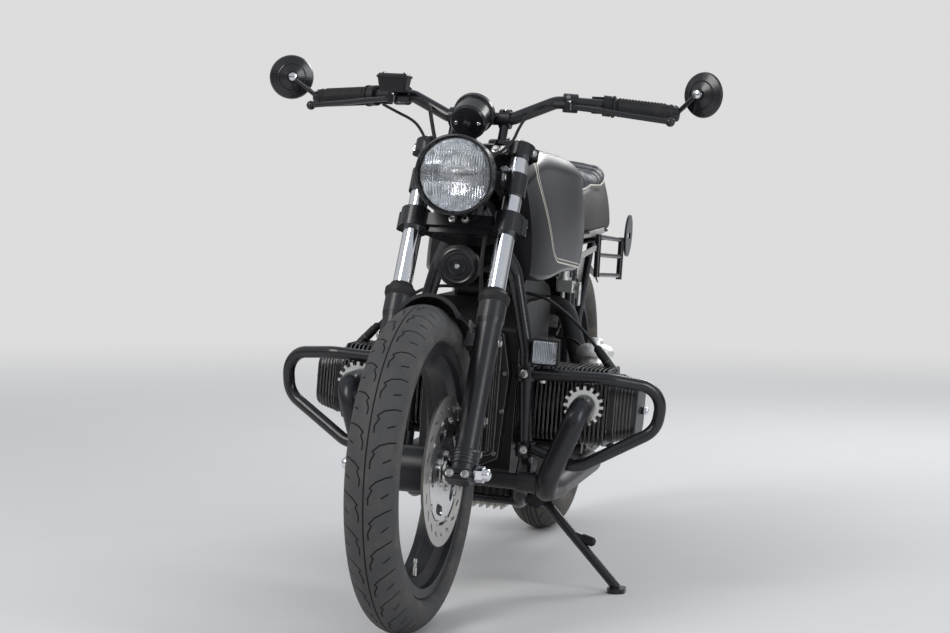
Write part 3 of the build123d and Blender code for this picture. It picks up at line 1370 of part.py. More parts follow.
# Tank, seat and the rest of the bodywork

TANK_STATIONS = (
    # behind its front, half width low and high, bottom, top
    (0, 106, 84, 666, TANK_TOP - 36),
    (40, 122, 97, 659, TANK_TOP - 12),
    (112, 134, 106, 662, TANK_TOP),
    (252, 142, 124, 672, TANK_TOP - 8),
    (TANK_L, 132, 112, 690, TANK_TOP - 82),
)
SEAT_STATIONS = (
    # behind its front, half width low and high, bottom, top
    (0, 119, 96, SEAT_Z, 843),
    (58, 148, 120, SEAT_Z, 876),
    (200, 156, 127, SEAT_Z, 889),
    (350, 154, 126, SEAT_Z, 888),
    (440, 140, 118, SEAT_Z, 904),
    (SEAT_L, 112, 96, SEAT_Z + 8, 894),
)


def body_section(front_y, station, lip, bulge, shoulder):
    """Section of the tank or seat: flat bottom, rounded lip, bulged side, round shoulder, crowned top."""
    back, low, high, bottom, top = station
    with BuildSketch(Plane.XZ.offset(-front_y - back)) as section:
        with BuildLine():
            half = [(low - lip, bottom), (low, bottom + lip)]
            half += [(high, top - shoulder), (high - shoulder + 3, top - 3)]
            ways = []
            for side in SIDES:
                a, b, c, d = [(side * x, z) for x, z in half]
                ThreePointArc(a, (side * (low - lip * 0.3), bottom + lip * 0.3), b)
                middle = (side * ((low + high) / 2 + bulge), (bottom + lip + top - shoulder) / 2)
                ThreePointArc(b, middle, c)
                ThreePointArc(c, (side * (high - shoulder * 0.28), top - shoulder * 0.3), d)
                ways.append((a, d))
            Line(ways[0][0], ways[1][0])
            ThreePointArc(ways[0][1], (0, top + 3), ways[1][1])
        make_face()
    return section.sketch.faces()[0]


with BuildPart() as fuel_tank:
    loft([body_section(TANK_Y, s, 13, 7, 46) for s in TANK_STATIONS])
    # Tunnel over the backbone, seat of the cap, seats of the petcocks
    with BuildSketch(Plane.XZ.offset(10 - TANK_Y)) as tunnel:
        with BuildLine():
            x, z = TUNNEL_HALF, TUNNEL_Z
            Polyline((-x, 640), (-x, z - 23), (-x / 2, z), (x / 2, z), (x, z - 23), (x, 640), close=True)
        make_face()
    extrude(tunnel.sketch, amount=-TANK_L - 20, mode=Mode.SUBTRACT)
    cap_seat = Vector(0, TANK_Y + CAP_BACK, TANK_TOP - CAP_SUNK)
    drill(cap_seat, cap_seat + Vector(0, 0, 40), CAP_R + FIT)
    for side in SIDES:
        drill((side * PETCOCK_X, PETCOCK_Y, 650), (side * PETCOCK_X, PETCOCK_Y, PETCOCK_Z), 12 + FIT)
fuel_tank.part.label = "fuel_tank"

with BuildPart() as fuel_cap:
    outline = [(0, CAP_R), (15, CAP_R), (18, CAP_R - 3), (20, 12), (22, 10)]
    turned_piece(cap_seat + Vector(0, 0, SEAT_GAP), (0, 0, 1), outline)
fuel_cap.part.label = "fuel_cap"

with BuildPart() as petcock:
    for side in SIDES:
        x, y = side * PETCOCK_X, PETCOCK_Y
        rod((x, y, PETCOCK_Z - 0.1), (x, y, PETCOCK_Z - 52), 12)
        rod((x, y, PETCOCK_Z - 46), (x, y, PETCOCK_Z - 40), 17)
        block((x + side * 6, y, PETCOCK_Z - 60), (40, 28, 26), 5)
        rod((x + side * 26, y, PETCOCK_Z - 60), (x + side * 38, y, PETCOCK_Z - 60), 9)
        block((x + side * 37, y - 4, PETCOCK_Z - 74), (7, 14, 52), 3)
        rod((x, y, PETCOCK_Z - 72), (x, y, PETCOCK_Z - 96), 5)
petcock.part.label = "petcock"

with BuildPart() as seat:
    loft([body_section(SEAT_Y, s, 12, 5, 40) for s in SEAT_STATIONS])
    split(bisect_by=Plane.XY.offset(SEAT_Z), keep=Keep.TOP)
seat.part.label = "seat"

PLATE_LOW = RAIL_Z + RAIL_R + 10.2
with BuildPart() as seat_base:
    with BuildSketch(Plane.XY.offset(PLATE_LOW)) as plate:
        with BuildLine():
            right = [(110, SEAT_Y + 14), (136, SEAT_Y + 99), (134, SEAT_Y + 349), (100, SEAT_END - 12)]
            Polyline(*right, *[mirrored(p) for p in reversed(right)], close=True)
        make_face()
        fillet(plate.vertices(), 14)
    extrude(plate.sketch, amount=SEAT_Z - PLATE_LOW - 0.3)
seat_base.part.label = "seat_base"

with BuildPart() as battery_box:
    block((0, PIVOT_Y + 85, 640), (180, 150, 140), 10)
    lug = Vector(*at_height(*STRUT, 580))
    for side in SIDES:
        block((side * 92, lug.Y, lug.Z), (6.2, 24, 24))
    # Ribs on its rear wall
    for x in range(-60, 61, 30):
        block((x, PIVOT_Y + 161, 640), (5, 4, 120))
battery_box.part.label = "battery_box"

with BuildPart() as tail_lamp:
    block((0, SEAT_END + 22, 742), (90, 40, 60), 8)
    rod((0, SEAT_END + 3, rail_end_z), (0, RAIL_END_Y + RAIL_R + 0.3, rail_end_z), 10)
tail_lamp.part.label = "tail_lamp"


def on_side(side, point):
    """The same place on one side of the bike."""
    return (side * point[0], *point[1:])


CLAMP_Z = (318.0, 474.0)
with BuildPart() as crash_bars:
    bar = [
        (134, E - 24, CLAMP_Z[1]),
        (290, E - 26, CLAMP_Z[1] + 4),
        (400, E + 22, 464),
        (390, E + 26, 378),
        (240, E - 22, 290),
        (143, E - 16, CLAMP_Z[0]),
    ]
    for run in both(bar):
        tube(run, [60, 50, 50, 50], CRASH_R)
    for side in SIDES:
        for z in CLAMP_Z:
            ends = [on_side(side, at_height(DOWN_TUBE[2], DOWN_TUBE[3], z + half)) for half in (-15, 15)]
            rod(*ends, TUBE_R + 7)
            # Pinch lug in front
            x, y = at_height(DOWN_TUBE[2], DOWN_TUBE[3], z)[:2]
            block((side * x, y - TUBE_R - 10, z), (20, 14, 22), 3)
        drill(on_side(side, DOWN_TUBE[3]), on_side(side, DOWN_TUBE[2]), TUBE_R + FIT)
crash_bars.part.label = "crash_bars"

with BuildPart() as indicators:
    for side in SIDES:
        x, y, top = side * 157, E - 24.3, CLAMP_Z[1] + 0.6 + CRASH_R
        rod((x, y, top + 0.3), (x, y, top + 14), 8)
        with BuildSketch(Plane.XZ.offset(43 - E)) as lens:
            with Locations((x, 521.6)):
                RectangleRounded(42, 46, 6)
        with BuildSketch(Plane.XZ.offset(-E - 12)) as rear_end:
            with Locations((x, 521.6)):
                RectangleRounded(34, 38, 6)
        loft([lens.sketch.faces()[0], rear_end.sketch.faces()[0]])
indicators.part.label = "indicators"

HORN_Z = 690.0
with BuildPart() as horn:
    outline = [(0, 12), (2, 30), (0, 36), (4, 42), (22, 42), (26, 36), (26, 20), (36, 20)]
    turned_piece((3, E - 224, HORN_Z), (0, 1, 0), outline)
    block((3, (E + 232) / 2, HORN_Z + 5.3), (24, E - 270, 4))
horn.part.label = "horn"

with BuildPart() as foot_pegs:
    for side in SIDES:
        turned_piece(
            (side * 134, PIVOT_Y - 115, 300),
            (side, 0, 0),
            [(0, 9), (24, 9), (25, 15), (44, 13), (66, 15), (88, 13), (108, 16), (112, 12)],
        )
        block((side * 133.5, PIVOT_Y - 85, 300), (12, 100, 40), 4)
foot_pegs.part.label = "foot_pegs"

# Bag carrier on the left of the tail: two uprights, three bars, and the round plate that holds the bag

CARRIER_FRONT = ((158, PIVOT_Y + 10, 652), (154, PIVOT_Y + 20, 748))
CARRIER_REAR = ((162, SEAT_END - 88, 634), (160, SEAT_END - 82, 734))
CARRIER_PLATE = (166, SEAT_END - 36, 738)
with BuildPart() as bag_carrier:
    for upright in (CARRIER_FRONT, CARRIER_REAR):
        rod(*upright, 7)
    for z in (742, 702, 657):
        rod(at_height(*CARRIER_FRONT, z), at_height(*CARRIER_REAR, z - 14), 5)
    # Stays to the subframe's rail
    for y in (PIVOT_Y + 60, SEAT_END - 120):
        x, z = RAIL_X + RAIL_R + 0.8, RAIL_Z + RAIL_RISE * (y - RAIL_Y) / (RAIL_END_Y - RAIL_Y)
        rod((x, y, z), (158, y, 742 - 14 * (y - PIVOT_Y) / (SEAT_END - 82 - PIVOT_Y)), 5)
    with BuildSketch(Plane(origin=CARRIER_PLATE, x_dir=(0, 1, 0), z_dir=LEFT)) as plate:
        Circle(50)
        SlotOverall(46, 14, mode=Mode.SUBTRACT)
    extrude(plate.sketch, amount=5)
    rod((161, SEAT_END - 84, 722), (167, SEAT_END - 70, 730), 5)
bag_carrier.part.label = "bag_carrier"

# Plug leads and fuel hoses, each whole from end to end

LEAD_R = 3.5
FUEL_R = 3.0
with BuildPart() as engine_leads:
    for side, y in BANKS:
        cap = [Vector(*plug_point(side, y, out, up)) for out, up in ((-8.1, 9.5), (-30, 35))]
        rod(*cap, 9.5)
        lead = [plug_point(side, y, -30, 35), plug_point(side, y, -56, 65.4), (side * 160, E + 95, 606)]
        lead += [(side * 110, E + 100, COIL_Z), (side * (COIL_X + SEAT_GAP), E + 100, COIL_Z)]
        smallest_bend[f"plug lead {side}"] = cable(lead, LEAD_R) / (2 * LEAD_R)
        tip, way = fuel_inlet(side, y)
        x, z = side * PETCOCK_X, PETCOCK_Z - 96
        hose = [(x, PETCOCK_Y, z - 0.1), (x, PETCOCK_Y, z - 60), (side * 106, E + 350, 520)]
        hose += [tuple(tip - way * 45), tuple(tip - way * 0.1)]
        smallest_bend[f"fuel hose {side}"] = cable(hose, FUEL_R) / (2 * FUEL_R)
engine_leads.part.label = "engine_leads"

# Side stand, drawn in its parked place

with BuildPart() as side_stand:
    pivot = Vector(*STAND_PIVOT)
    foot = Vector(FOOT_X, FOOT_Y, FOOT_Z + PAD_T - 1)
    rod(pivot, foot, LEG_R)
    with BuildSketch(STAND_PLANE.offset(-EYE_T / 2)) as eye:
        Circle(EYE_R)
    extrude(eye.sketch, amount=EYE_T)
    drill(*[STAND_PLANE.from_local_coords(Vector(0, 0, s * EYE_T)) for s in (-1, 1)], PIN_R + FIT)
    # Tang for the rider's heel, with a rubber ball at its end
    elbow = pivot + (foot - pivot) * 0.4
    tang = Vector(258, E + 121, 121)
    rod(elbow, tang, 7)
    with Locations(tang):
        Sphere(9)
    with BuildSketch(Plane(origin=(FOOT_X, FOOT_Y, FOOT_Z), x_dir=(0, 1, 0), z_dir=GROUND_UP)) as pad:
        SlotOverall(56, 38)
    extrude(pad.sketch, amount=PAD_T)
side_stand.part.label = "side_stand"

# Stance of every piece, and the files

CHASSIS = [
    main_frame,
    subframe,
    crankcase,
    front_cover,
    sump,
    gearbox,
    air_box,
    cylinders,
    cylinder_heads,
    rocker_covers,
    exhaust_nuts,
    exhaust_headers,
    silencers,
    carburettors,
    inlet_ducts,
    swing_arm,
    final_drive,
    rear_shock,
    rear_mudguard,
    fuel_tank,
    fuel_cap,
    petcock,
    seat,
    seat_base,
    battery_box,
    tail_lamp,
    crash_bars,
    indicators,
    horn,
    foot_pegs,
    bag_carrier,
    engine_leads,
]
FORK_BODY = [
    front_axle,
    fork_sliders,
    dust_seals,
    stanchions,
    lower_yoke,
    top_yoke,
    front_mudguard,
    handlebar,
    grips,
    mirrors,
    mirror_glass,
    switch_blocks,
    lever_perches,
    levers,
    reservoir,
    headlamp_shell,
    headlamp_rim,
    headlamp_lens,
    lamp_brackets,
    speedometer,
    brake_caliper,
    control_cables,
]
FRONT_WHEEL = [front_tyre, front_rim, brake_disc]
REAR_WHEEL = [rear_tyre, rear_rim]
STAND = [side_stand]

placed = []
for pieces, place in (
    (CHASSIS, STANCE),
    (FORK_BODY, STANCE * STEERED),
    (FRONT_WHEEL, STANCE * STEERED),
    (REAR_WHEEL, STANCE),
    (STAND, STANCE),
):
    for piece in pieces:
        shape = piece.part.moved(place)
        shape.label = piece.part.label
        placed.append(shape)

boxes = [shape.bounding_box() for shape in placed]
CENTRE_X = (min(b.min.X for b in boxes) + max(b.max.X for b in boxes)) / 2
CENTRE_Y = (min(b.min.Y for b in boxes) + max(b.max.Y for b in boxes)) / 2
CENTRE = Location((-CENTRE_X, -CENTRE_Y, 0))

os.makedirs("parts", exist_ok=True)
for shape in placed:
    export_step(shape.moved(CENTRE), f"parts/{shape.label}.step")
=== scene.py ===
"""Dresses the cafe racer motorcycle: paint, cast metal, rubber, leather, glass, and small trim."""

import json
import math

import bmesh
import bpy
from mathutils import Matrix, Vector
from mathutils.bvhtree import BVHTree

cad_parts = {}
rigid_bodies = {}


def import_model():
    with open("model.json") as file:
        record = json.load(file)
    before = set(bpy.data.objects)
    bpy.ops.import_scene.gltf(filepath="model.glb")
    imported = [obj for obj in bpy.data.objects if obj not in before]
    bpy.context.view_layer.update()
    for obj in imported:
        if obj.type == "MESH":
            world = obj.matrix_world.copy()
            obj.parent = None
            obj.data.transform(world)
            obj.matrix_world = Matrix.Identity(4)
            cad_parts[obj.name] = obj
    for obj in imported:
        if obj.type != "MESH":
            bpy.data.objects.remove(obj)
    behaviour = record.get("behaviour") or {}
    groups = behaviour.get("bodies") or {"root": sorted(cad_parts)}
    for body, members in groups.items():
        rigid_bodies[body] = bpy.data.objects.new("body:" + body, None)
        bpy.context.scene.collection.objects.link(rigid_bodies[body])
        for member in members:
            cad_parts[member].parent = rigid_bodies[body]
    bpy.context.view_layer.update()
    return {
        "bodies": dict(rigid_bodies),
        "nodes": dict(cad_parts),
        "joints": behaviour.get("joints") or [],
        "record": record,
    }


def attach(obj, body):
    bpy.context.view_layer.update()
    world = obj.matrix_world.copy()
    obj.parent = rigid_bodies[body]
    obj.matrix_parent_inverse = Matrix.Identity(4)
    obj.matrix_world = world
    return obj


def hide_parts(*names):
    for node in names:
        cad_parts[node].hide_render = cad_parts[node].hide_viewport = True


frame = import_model()
NODES = frame["nodes"]
RECORD = frame["record"]

bl_info = {
    "name": "Cafe racer motorcycle",
    "version": (1, 0, 0),
    "blender": (4, 5, 0),
    "location": "View3D > Sidebar > Motorcycle",
    "description": "Dresses a cafe racer motorcycle and sets its studio",
    "category": "Object",
}

# Sizes of the bike in millimetres, and the rake of its fork
MM = 0.001
RAKE = math.radians(27.8)
WHEELBASE = 1447.0
FRONT_R = 312.0
REAR_R = 334.0


def joint(name):
    """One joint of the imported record."""
    return next(j for j in RECORD["behaviour"]["joints"] if j["name"] == name)


# The bike's own upright frames, found from its joints: one for what leans, one for what also steers
FRONT_HUB = Vector(joint("front_wheel_spin")["pos_m"])
REAR_HUB = Vector(joint("rear_wheel_spin")["pos_m"])
FRONT_AXIS = Vector(joint("front_wheel_spin")["axis"])
REAR_AXIS = Vector(joint("rear_wheel_spin")["axis"])
STEER_AXIS = Vector(joint("steering")["axis"])


def axes(left, up):
    """Rotation whose X is the bike's left and whose Z is near up."""
    back = up.cross(left).normalized()
    up = left.cross(back)
    return Matrix((left, back, up)).transposed()


def bike_up(left):
    """Upright direction of a frame, from its left and the raked steering axis."""
    back = STEER_AXIS.cross(left).normalized()
    return STEER_AXIS * math.cos(RAKE) - back * math.sin(RAKE)


def upright(hub, axis, back, up):
    """Frame on the ground under the front axle, from one hub's place and axis."""
    turn = axes(axis, bike_up(axis)).to_4x4()
    return Matrix.Translation(hub) @ turn @ Matrix.Translation((0, -back * MM, -up * MM))


FORK = upright(FRONT_HUB, FRONT_AXIS, 0, FRONT_R)
BODY = upright(REAR_HUB, REAR_AXIS, WHEELBASE, REAR_R)
FRAMES = {"fork": FORK, "front_wheel": FORK, "chassis": BODY, "rear_wheel": BODY, "side_stand": BODY}

# Directions on the upright bike, and places in millimetres left, back and up
LEG_UP = Vector((0, math.sin(RAKE), math.cos(RAKE)))
LEG_BACK = Vector((0, math.cos(RAKE), -math.sin(RAKE)))
LEFT, UP, FRONT = Vector((1, 0, 0)), Vector((0, 0, 1)), Vector((0, -1, 0))
SIDES = (1, -1)
LEG_X = 95
FRONT_AXLE = Vector((0, 0, FRONT_R))
REAR_AXLE = Vector((0, WHEELBASE, REAR_R))
LAMP = Vector((0, 176, 869))
GAUGE = Vector((-5, 296, 982))
GAUGE_TILT = math.radians(24)
GAUGE_WAY = Vector((0, math.cos(GAUGE_TILT), math.sin(GAUGE_TILT)))
YOKE_TOP = Vector((0, 324.6, 927.7))
PERCH = Vector((176, 384.1, 1022.4))
BAR_TIP = Vector((372, 448, 1012))
BAR_WAY = Vector((132, 39, -9)).normalized()
MIRROR = Vector((436, 436, 1052))
MIRROR_TURN = math.radians(25)
DISC_FACE = 60.0

# Each cylinder bank: its side, and how far back it lies
BANKS = ((1, 534.0), (-1, 574.0))
CRANK_UP = 409


def leg(x, back, along):
    """A place on the fork: left, behind its tubes, and up along them from the axle, in millimetres."""
    return Vector((x, 0, FRONT_R)) + LEG_BACK * back + LEG_UP * along


def at_side(side, place):
    """A place given for the left side, on either side."""
    return Vector((side * place[0], place[1], place[2]))


def around(middle, radius, count, turn=0.0):
    """Places evenly round a circle that faces the bike's side."""
    angles = [turn + 2 * math.pi * number / count for number in range(count)]
    return [middle + Vector((0, radius * math.cos(a), radius * math.sin(a))) for a in angles]


def stand_at(frame, place, way=(0, 0, 1)):
    """Placement at a point in millimetres, with its Z along a way of the upright bike."""
    facing = Vector(way).to_track_quat("Z", "Y").to_matrix().to_4x4()
    return frame @ Matrix.Translation(Vector(place) * MM) @ facing


# Shader maths


class Shade:
    """A socket that can be used in Python expressions."""

    def __init__(self, tree, socket):
        self.tree, self.socket = tree, socket

    def maths(self, operation, *others):
        return maths(self.tree, operation, self, *others)

    def __add__(self, other):
        return self.maths("ADD", other)

    def __radd__(self, other):
        return self.maths("ADD", other)

    def __sub__(self, other):
        return self.maths("SUBTRACT", other)

    def __rsub__(self, other):
        return maths(self.tree, "SUBTRACT", other, self)

    def __mul__(self, other):
        return self.maths("MULTIPLY", other)

    def __rmul__(self, other):
        return self.maths("MULTIPLY", other)

    def __truediv__(self, other):
        return self.maths("DIVIDE", other)

    def __pow__(self, other):
        return self.maths("POWER", other)

    def __abs__(self):
        return self.maths("ABSOLUTE")

    def __gt__(self, other):
        return self.maths("GREATER_THAN", other)

    def clamp(self):
        """The same value, held between 0 and 1."""
        held = self.maths("ADD", 0.0)
        held.socket.node.use_clamp = True
        return held

    def smooth(self, low, high):
        """0 below low, 1 above high, and a soft step between."""
        t = ((self - low) / (high - low)).clamp()
        return t * t * (3.0 - 2.0 * t)


def feed(tree, place, value):
    """Links a socket to a shade, or sets it to a number, a vector or a colour."""
    if isinstance(value, Shade):
        tree.links.new(value.socket, place)
    elif place.type == "RGBA" and len(value) == 3:
        place.default_value = (*value, 1.0)
    else:
        place.default_value = value


def maths(tree, operation, *values):
    """A Math node, fed in order with shades and numbers."""
    node = tree.nodes.new("ShaderNodeMath")
    node.operation = operation
    for place, value in zip(node.inputs, values):
        feed(tree, place, value)
    return Shade(tree, node.outputs[0])


class Nodes:
    """The nodes of a material or of the world, added in code."""

    def __init__(self, owner):
        owner.use_nodes = True
        self.tree = owner.node_tree

    def node(self, kind, settings=None, **inputs):
        """A node of one type, its settings, then the values or links of its sockets."""
        made = self.tree.nodes.new(kind)
        for key, value in (settings or {}).items():
            if key == "stops":
                ramp = made.color_ramp.elements
                while len(ramp) < len(value):
                    ramp.new(0.5)
                for stop, (at, colour) in zip(ramp, value):
                    stop.position, stop.color = at, (*colour, 1.0)
            else:
                setattr(made, key, value)
        for key, value in inputs.items():
            by_number = key[0] == "i" and key[1:].isdigit()
            feed(self.tree, made.inputs[int(key[1:]) if by_number else key.replace("_", " ")], value)
        return made

    def out(self, made, name=0):
        return Shade(self.tree, made.outputs[name])

    def blend(self, share, first, second):
        """Two shaders mixed by a share, led to the output."""
        made = self.node("ShaderNodeMixShader", i0=share, i1=self.out(first), i2=self.out(second))
        end = next(node for node in self.tree.nodes if node.type.startswith("OUTPUT"))
        feed(self.tree, end.inputs[0], self.out(made))


class Finish(Nodes):
    """A procedural material in the making."""

    def __init__(self, name):
        self.material = bpy.data.materials.new(name)
        super().__init__(self.material)
        self.shader = self.tree.nodes["Principled BSDF"]

    def here(self):
        """Object coordinates, which are the row frame's."""
        return self.out(self.node("ShaderNodeTexCoord"), "Object")

    def noise(self, scale, detail=4.0, rough=0.55, vector=None, stretch=None):
        vector = vector or self.here()
        if stretch:
            vector = self.out(self.node("ShaderNodeMapping", Vector=vector, Scale=stretch))
        return self.out(
            self.node("ShaderNodeTexNoise", Vector=vector, Scale=scale, Detail=detail, Roughness=rough)
        )

    def dot(self, first, second):
        """How far one vector reaches along another."""
        made = self.node("ShaderNodeVectorMath", {"operation": "DOT_PRODUCT"}, i0=first, i1=second)
        return self.out(made, "Value")

    def vector(self, x, y, z):
        return self.out(self.node("ShaderNodeCombineXYZ", X=x, Y=y, Z=z))

    def mix(self, share, first, second):
        """Two colours mixed by a share."""
        return self.out(self.node("ShaderNodeMix", {"data_type": "RGBA"}, i0=share, i6=first, i7=second), 2)

    def normal(self):
        return self.out(self.node("ShaderNodeNewGeometry"), "Normal")

    def worn(self, sharp=0.03):
        """Near 1 on outward edges."""
        bevel = self.node("ShaderNodeBevel", {"samples": 6}, Radius=0.0012)
        return (1.0 - self.dot(self.out(bevel), self.normal())).smooth(0.002, sharp)

    def set(self, **inputs):
        """Sockets of the main shader."""
        for key, value in inputs.items():
            feed(self.tree, self.shader.inputs[key.replace("_", " ")], value)
        return self

    def bump(self, height, strength=0.3, distance=0.001):
        made = self.node("ShaderNodeBump", Height=height, Strength=strength, Distance=distance)
        return self.set(Normal=self.out(made))


def carried(finish, frame_matrix):
    """Millimetres left, back and up on the upright bike, for a piece that this frame carries."""
    here = finish.here()
    inverse = frame_matrix.inverted()
    return [finish.dot(here, Vector(inverse[i][:3]) / MM) + inverse[i][3] / MM for i in range(3)]


# Finishes


def satin_paint(name, base, sheen, rough=0.34, coat=0.25):
    """Paint with soft unevenness, fine scratches and a little dust."""
    paint = Finish(name)
    blotch = paint.noise(9.0, 5.0)
    fine = paint.noise(220.0, 3.0)
    dirt = paint.noise(38.0, 8.0, 0.7).smooth(0.56, 0.8)
    colour = paint.mix(dirt * 0.18, paint.mix(blotch, base, sheen), (0.16, 0.15, 0.14))
    dull = rough + (blotch - 0.5) * 0.14 + dirt * 0.12 + (fine - 0.5) * 0.05
    paint.set(Base_Color=colour, Roughness=dull.clamp())
    paint.set(Coat_Weight=coat, Coat_Roughness=0.18, Specular_IOR_Level=0.4)
    return paint.bump(fine, 0.05, 0.0004).material


def cast_metal(name, base, worn, metal=0.0, rough=0.5, grain=700.0, strength=0.22, edge=0.6):
    """Cast or painted metal with a pebbled skin and paler worn edges."""
    cast = Finish(name)
    skin = cast.noise(grain, 5.0, 0.6)
    blotch = cast.noise(24.0, 6.0, 0.65)
    edges = (cast.worn() * (blotch * 1.4).clamp()).clamp() * edge
    colour = cast.mix(edges, cast.mix(blotch, base, tuple(c * 1.5 for c in base)), worn)
    cast.set(Base_Color=colour, Metallic=(metal + edges * 0.8).clamp())
    cast.set(Roughness=(rough + (blotch - 0.5) * 0.2).clamp())
    return cast.bump(skin, strength, 0.0006).material


def bright_metal(name, base, rough=0.16, grain=90.0):
    """Polished or turned metal with fine scratches."""
    metal = Finish(name)
    scratch = metal.noise(grain, 6.0, 0.7, stretch=(1.0, 1.0, 14.0))
    blotch = metal.noise(30.0, 5.0)
    metal.set(Base_Color=metal.mix(blotch, base, tuple(c * 0.8 for c in base)), Metallic=1.0)
    metal.set(Roughness=(rough + (blotch - 0.5) * 0.16 + (scratch - 0.5) * 0.1).clamp())
    return metal.bump(scratch, 0.04, 0.0003).material


def rubber(name, base, dust, rough=0.62):
    """Rubber or moulded plastic with a fine grain and dust in its hollows."""
    soft = Finish(name)
    grain = soft.noise(900.0, 3.0)
    blotch = soft.noise(30.0, 7.0, 0.7)
    soft.set(Base_Color=soft.mix(blotch.smooth(0.45, 0.8) * 0.5, base, dust))
    soft.set(Roughness=(rough + (blotch - 0.5) * 0.2).clamp(), Specular_IOR_Level=0.35)
    return soft.bump(grain, 0.15, 0.0003).material


def off_run(along, across, start, end):
    """Distance of a place on the tread from one straight run of a groove, in millimetres."""
    run_on, run_out = end[0] - start[0], end[1] - start[1]
    share = (along - start[0]) * run_on + (across - start[1]) * run_out
    share = (share / (run_on * run_on + run_out * run_out)).clamp()
    x, y = along - start[0] - share * run_on, across - start[1] - share * run_out
    return (x * x + y * y) ** 0.5


def tread(name, hub, axis, radius, half, count, runs, lanes, edge, base, dust):
    """Tyre rubber with grooves painted near black as painted shade: runs repeat round the tyre on both
    sides, lanes go all the way round.
    """
    tyre = Finish(name)
    ahead = axis.cross(Vector((0, 0, 1))).normalized()
    above = ahead.cross(axis)
    here = tyre.here()
    across, x, y = [tyre.dot(here, way / MM) - hub.dot(way) / MM for way in (axis, ahead, above)]
    reach = (x * x + y * y) ** 0.5
    bulge = across.maths("ARCTAN2", reach - (radius - half)) * half
    lane = abs(bulge)
    pitch = 2 * math.pi * radius / count
    turn = y.maths("ARCTAN2", x) * (count / (2 * math.pi)) + (bulge > 0.0) * 0.5
    along = turn.maths("FRACT") * pitch
    near = off_run(along, lane, *runs[0])
    for run in runs[1:]:
        near = near.maths("MINIMUM", off_run(along, lane, *run))
    for at in lanes:
        near = near.maths("MINIMUM", abs(lane - at))
    groove = 1.0 - near.smooth(0.8, 1.7)
    blotch = tyre.noise(26.0, 7.0, 0.7)
    side = lane.smooth(edge, edge + 8.0)
    worn = (blotch.smooth(0.4, 0.75) * (0.35 + side * 0.6)).clamp()
    colour = tyre.mix(worn, base, dust)
    # Painted shade: the grooves are coloured near black, for the shade that falls in them.
    tyre.set(Base_Color=tyre.mix(groove, colour, (0.004, 0.004, 0.004)), Specular_IOR_Level=0.35)
    tyre.set(Roughness=(0.66 + (blotch - 0.5) * 0.2 + groove * 0.2).clamp())
    rings = (reach * 0.9).maths("SINE") * side * 0.06
    return tyre.bump(1.0 - groove + rings + tyre.noise(700.0, 3.0) * 0.07, 1.0, 0.0022).material


# Runs of the grooves: start and end, each as a place round the tyre and one out from its middle
FRONT_RUNS = (
    ((4, 9), (16, 8.5)),
    ((16, 8.5), (30, 15)),
    ((30, 15), (35, 11)),
    ((35, 11), (46, 22)),
    ((46, 22), (54, 40)),
    ((54, 40), (57, 55)),
    ((16, 33), (23, 47)),
)
REAR_RUNS = (((4, 22), (26, 30)), ((26, 30), (40, 64)), ((46, 36), (56, 62)))


def tank_paint():
    """Graphite paint with a double cream line round each side panel, and a painted sky reflection on the
    faces that turn upward.
    """
    paint = Finish("tank paint")
    left, back, up = carried(paint, BODY)
    # The panel's front and lower edges would meet at this point, and its upper edge has this half width
    meet_back, meet_up, half_width, corner = 560.0, 698.0, 84.0, 34.0
    front = (back - meet_back) * -0.9056 + (up - meet_up) * -0.4245
    low = (back - meet_back) * -0.085 + (up - meet_up) * -0.9964
    high = half_width - abs(left)
    a, b = front + corner, low.maths("MAXIMUM", high) + corner
    outside_a, outside_b = a.maths("MAXIMUM", 0.0), b.maths("MAXIMUM", 0.0)
    rounded = (outside_a * outside_a + outside_b * outside_b) ** 0.5
    edge = rounded + a.maths("MAXIMUM", b).maths("MINIMUM", 0.0) - corner
    wide, thin = 1.0 - abs(edge + 2.0).smooth(1.3, 2.1), 1.0 - abs(edge + 9.0).smooth(0.7, 1.4)
    line = wide.maths("MAXIMUM", thin)
    panel = 1.0 - edge.smooth(-9.5, -9.0)
    blotch = paint.noise(8.0, 5.0)
    fleck = paint.noise(1500.0, 2.0)
    dirt = paint.noise(34.0, 8.0, 0.7).smooth(0.55, 0.85)
    colour = paint.mix(panel, (0.010, 0.010, 0.011), (0.030, 0.031, 0.036))
    # Painted sky reflection: faces that turn upward are mixed towards a pale warm grey, for the bright sky
    # that the satin top reflects. The mask is called dust, but it paints this reflection.
    dust = paint.dot(paint.normal(), (0, 0, 1)).smooth(-0.05, 0.6) * 0.6
    colour = paint.mix(dust, colour, (0.27, 0.265, 0.25))
    colour = paint.mix(dirt * 0.15, colour, (0.16, 0.15, 0.14))
    colour = paint.mix(line, colour, (0.66, 0.62, 0.53))
    paint.set(Base_Color=colour, Metallic=(0.35 - line * 0.35).clamp())
    paint.set(Roughness=(0.36 + (blotch - 0.5) * 0.14 + dirt * 0.12).clamp())
    paint.set(Coat_Weight=0.35, Coat_Roughness=0.12)
    return paint.bump(fleck + line * 0.5, 0.04, 0.0004).material


def disc_steel():
    """Brake disc: dark worn ring with turned scratches, bright carrier inside it."""
    steel = Finish("disc steel")
    left, back, up = carried(steel, FORK)
    rise = up - FRONT_R
    reach = (back * back + rise * rise) ** 0.5
    ring = reach.smooth(97.0, 101.0)
    scratch = steel.noise(1.0, 5.0, 0.7, vector=steel.vector(reach * 2.2, back * 0.01, rise * 0.01))
    blotch = steel.noise(40.0, 7.0, 0.7)
    rust = blotch.smooth(0.58, 0.75) * ring * 0.4
    colour = steel.mix(ring, (0.82, 0.82, 0.82), (0.62, 0.60, 0.57))
    steel.set(Base_Color=steel.mix(rust, colour, (0.13, 0.08, 0.05)), Metallic=(1.0 - rust * 0.6).clamp())
    steel.set(Roughness=(0.24 + ring * 0.1 + (scratch - 0.5) * 0.2 + rust * 0.5).clamp())
    return steel.bump(scratch, 0.12, 0.0004).material


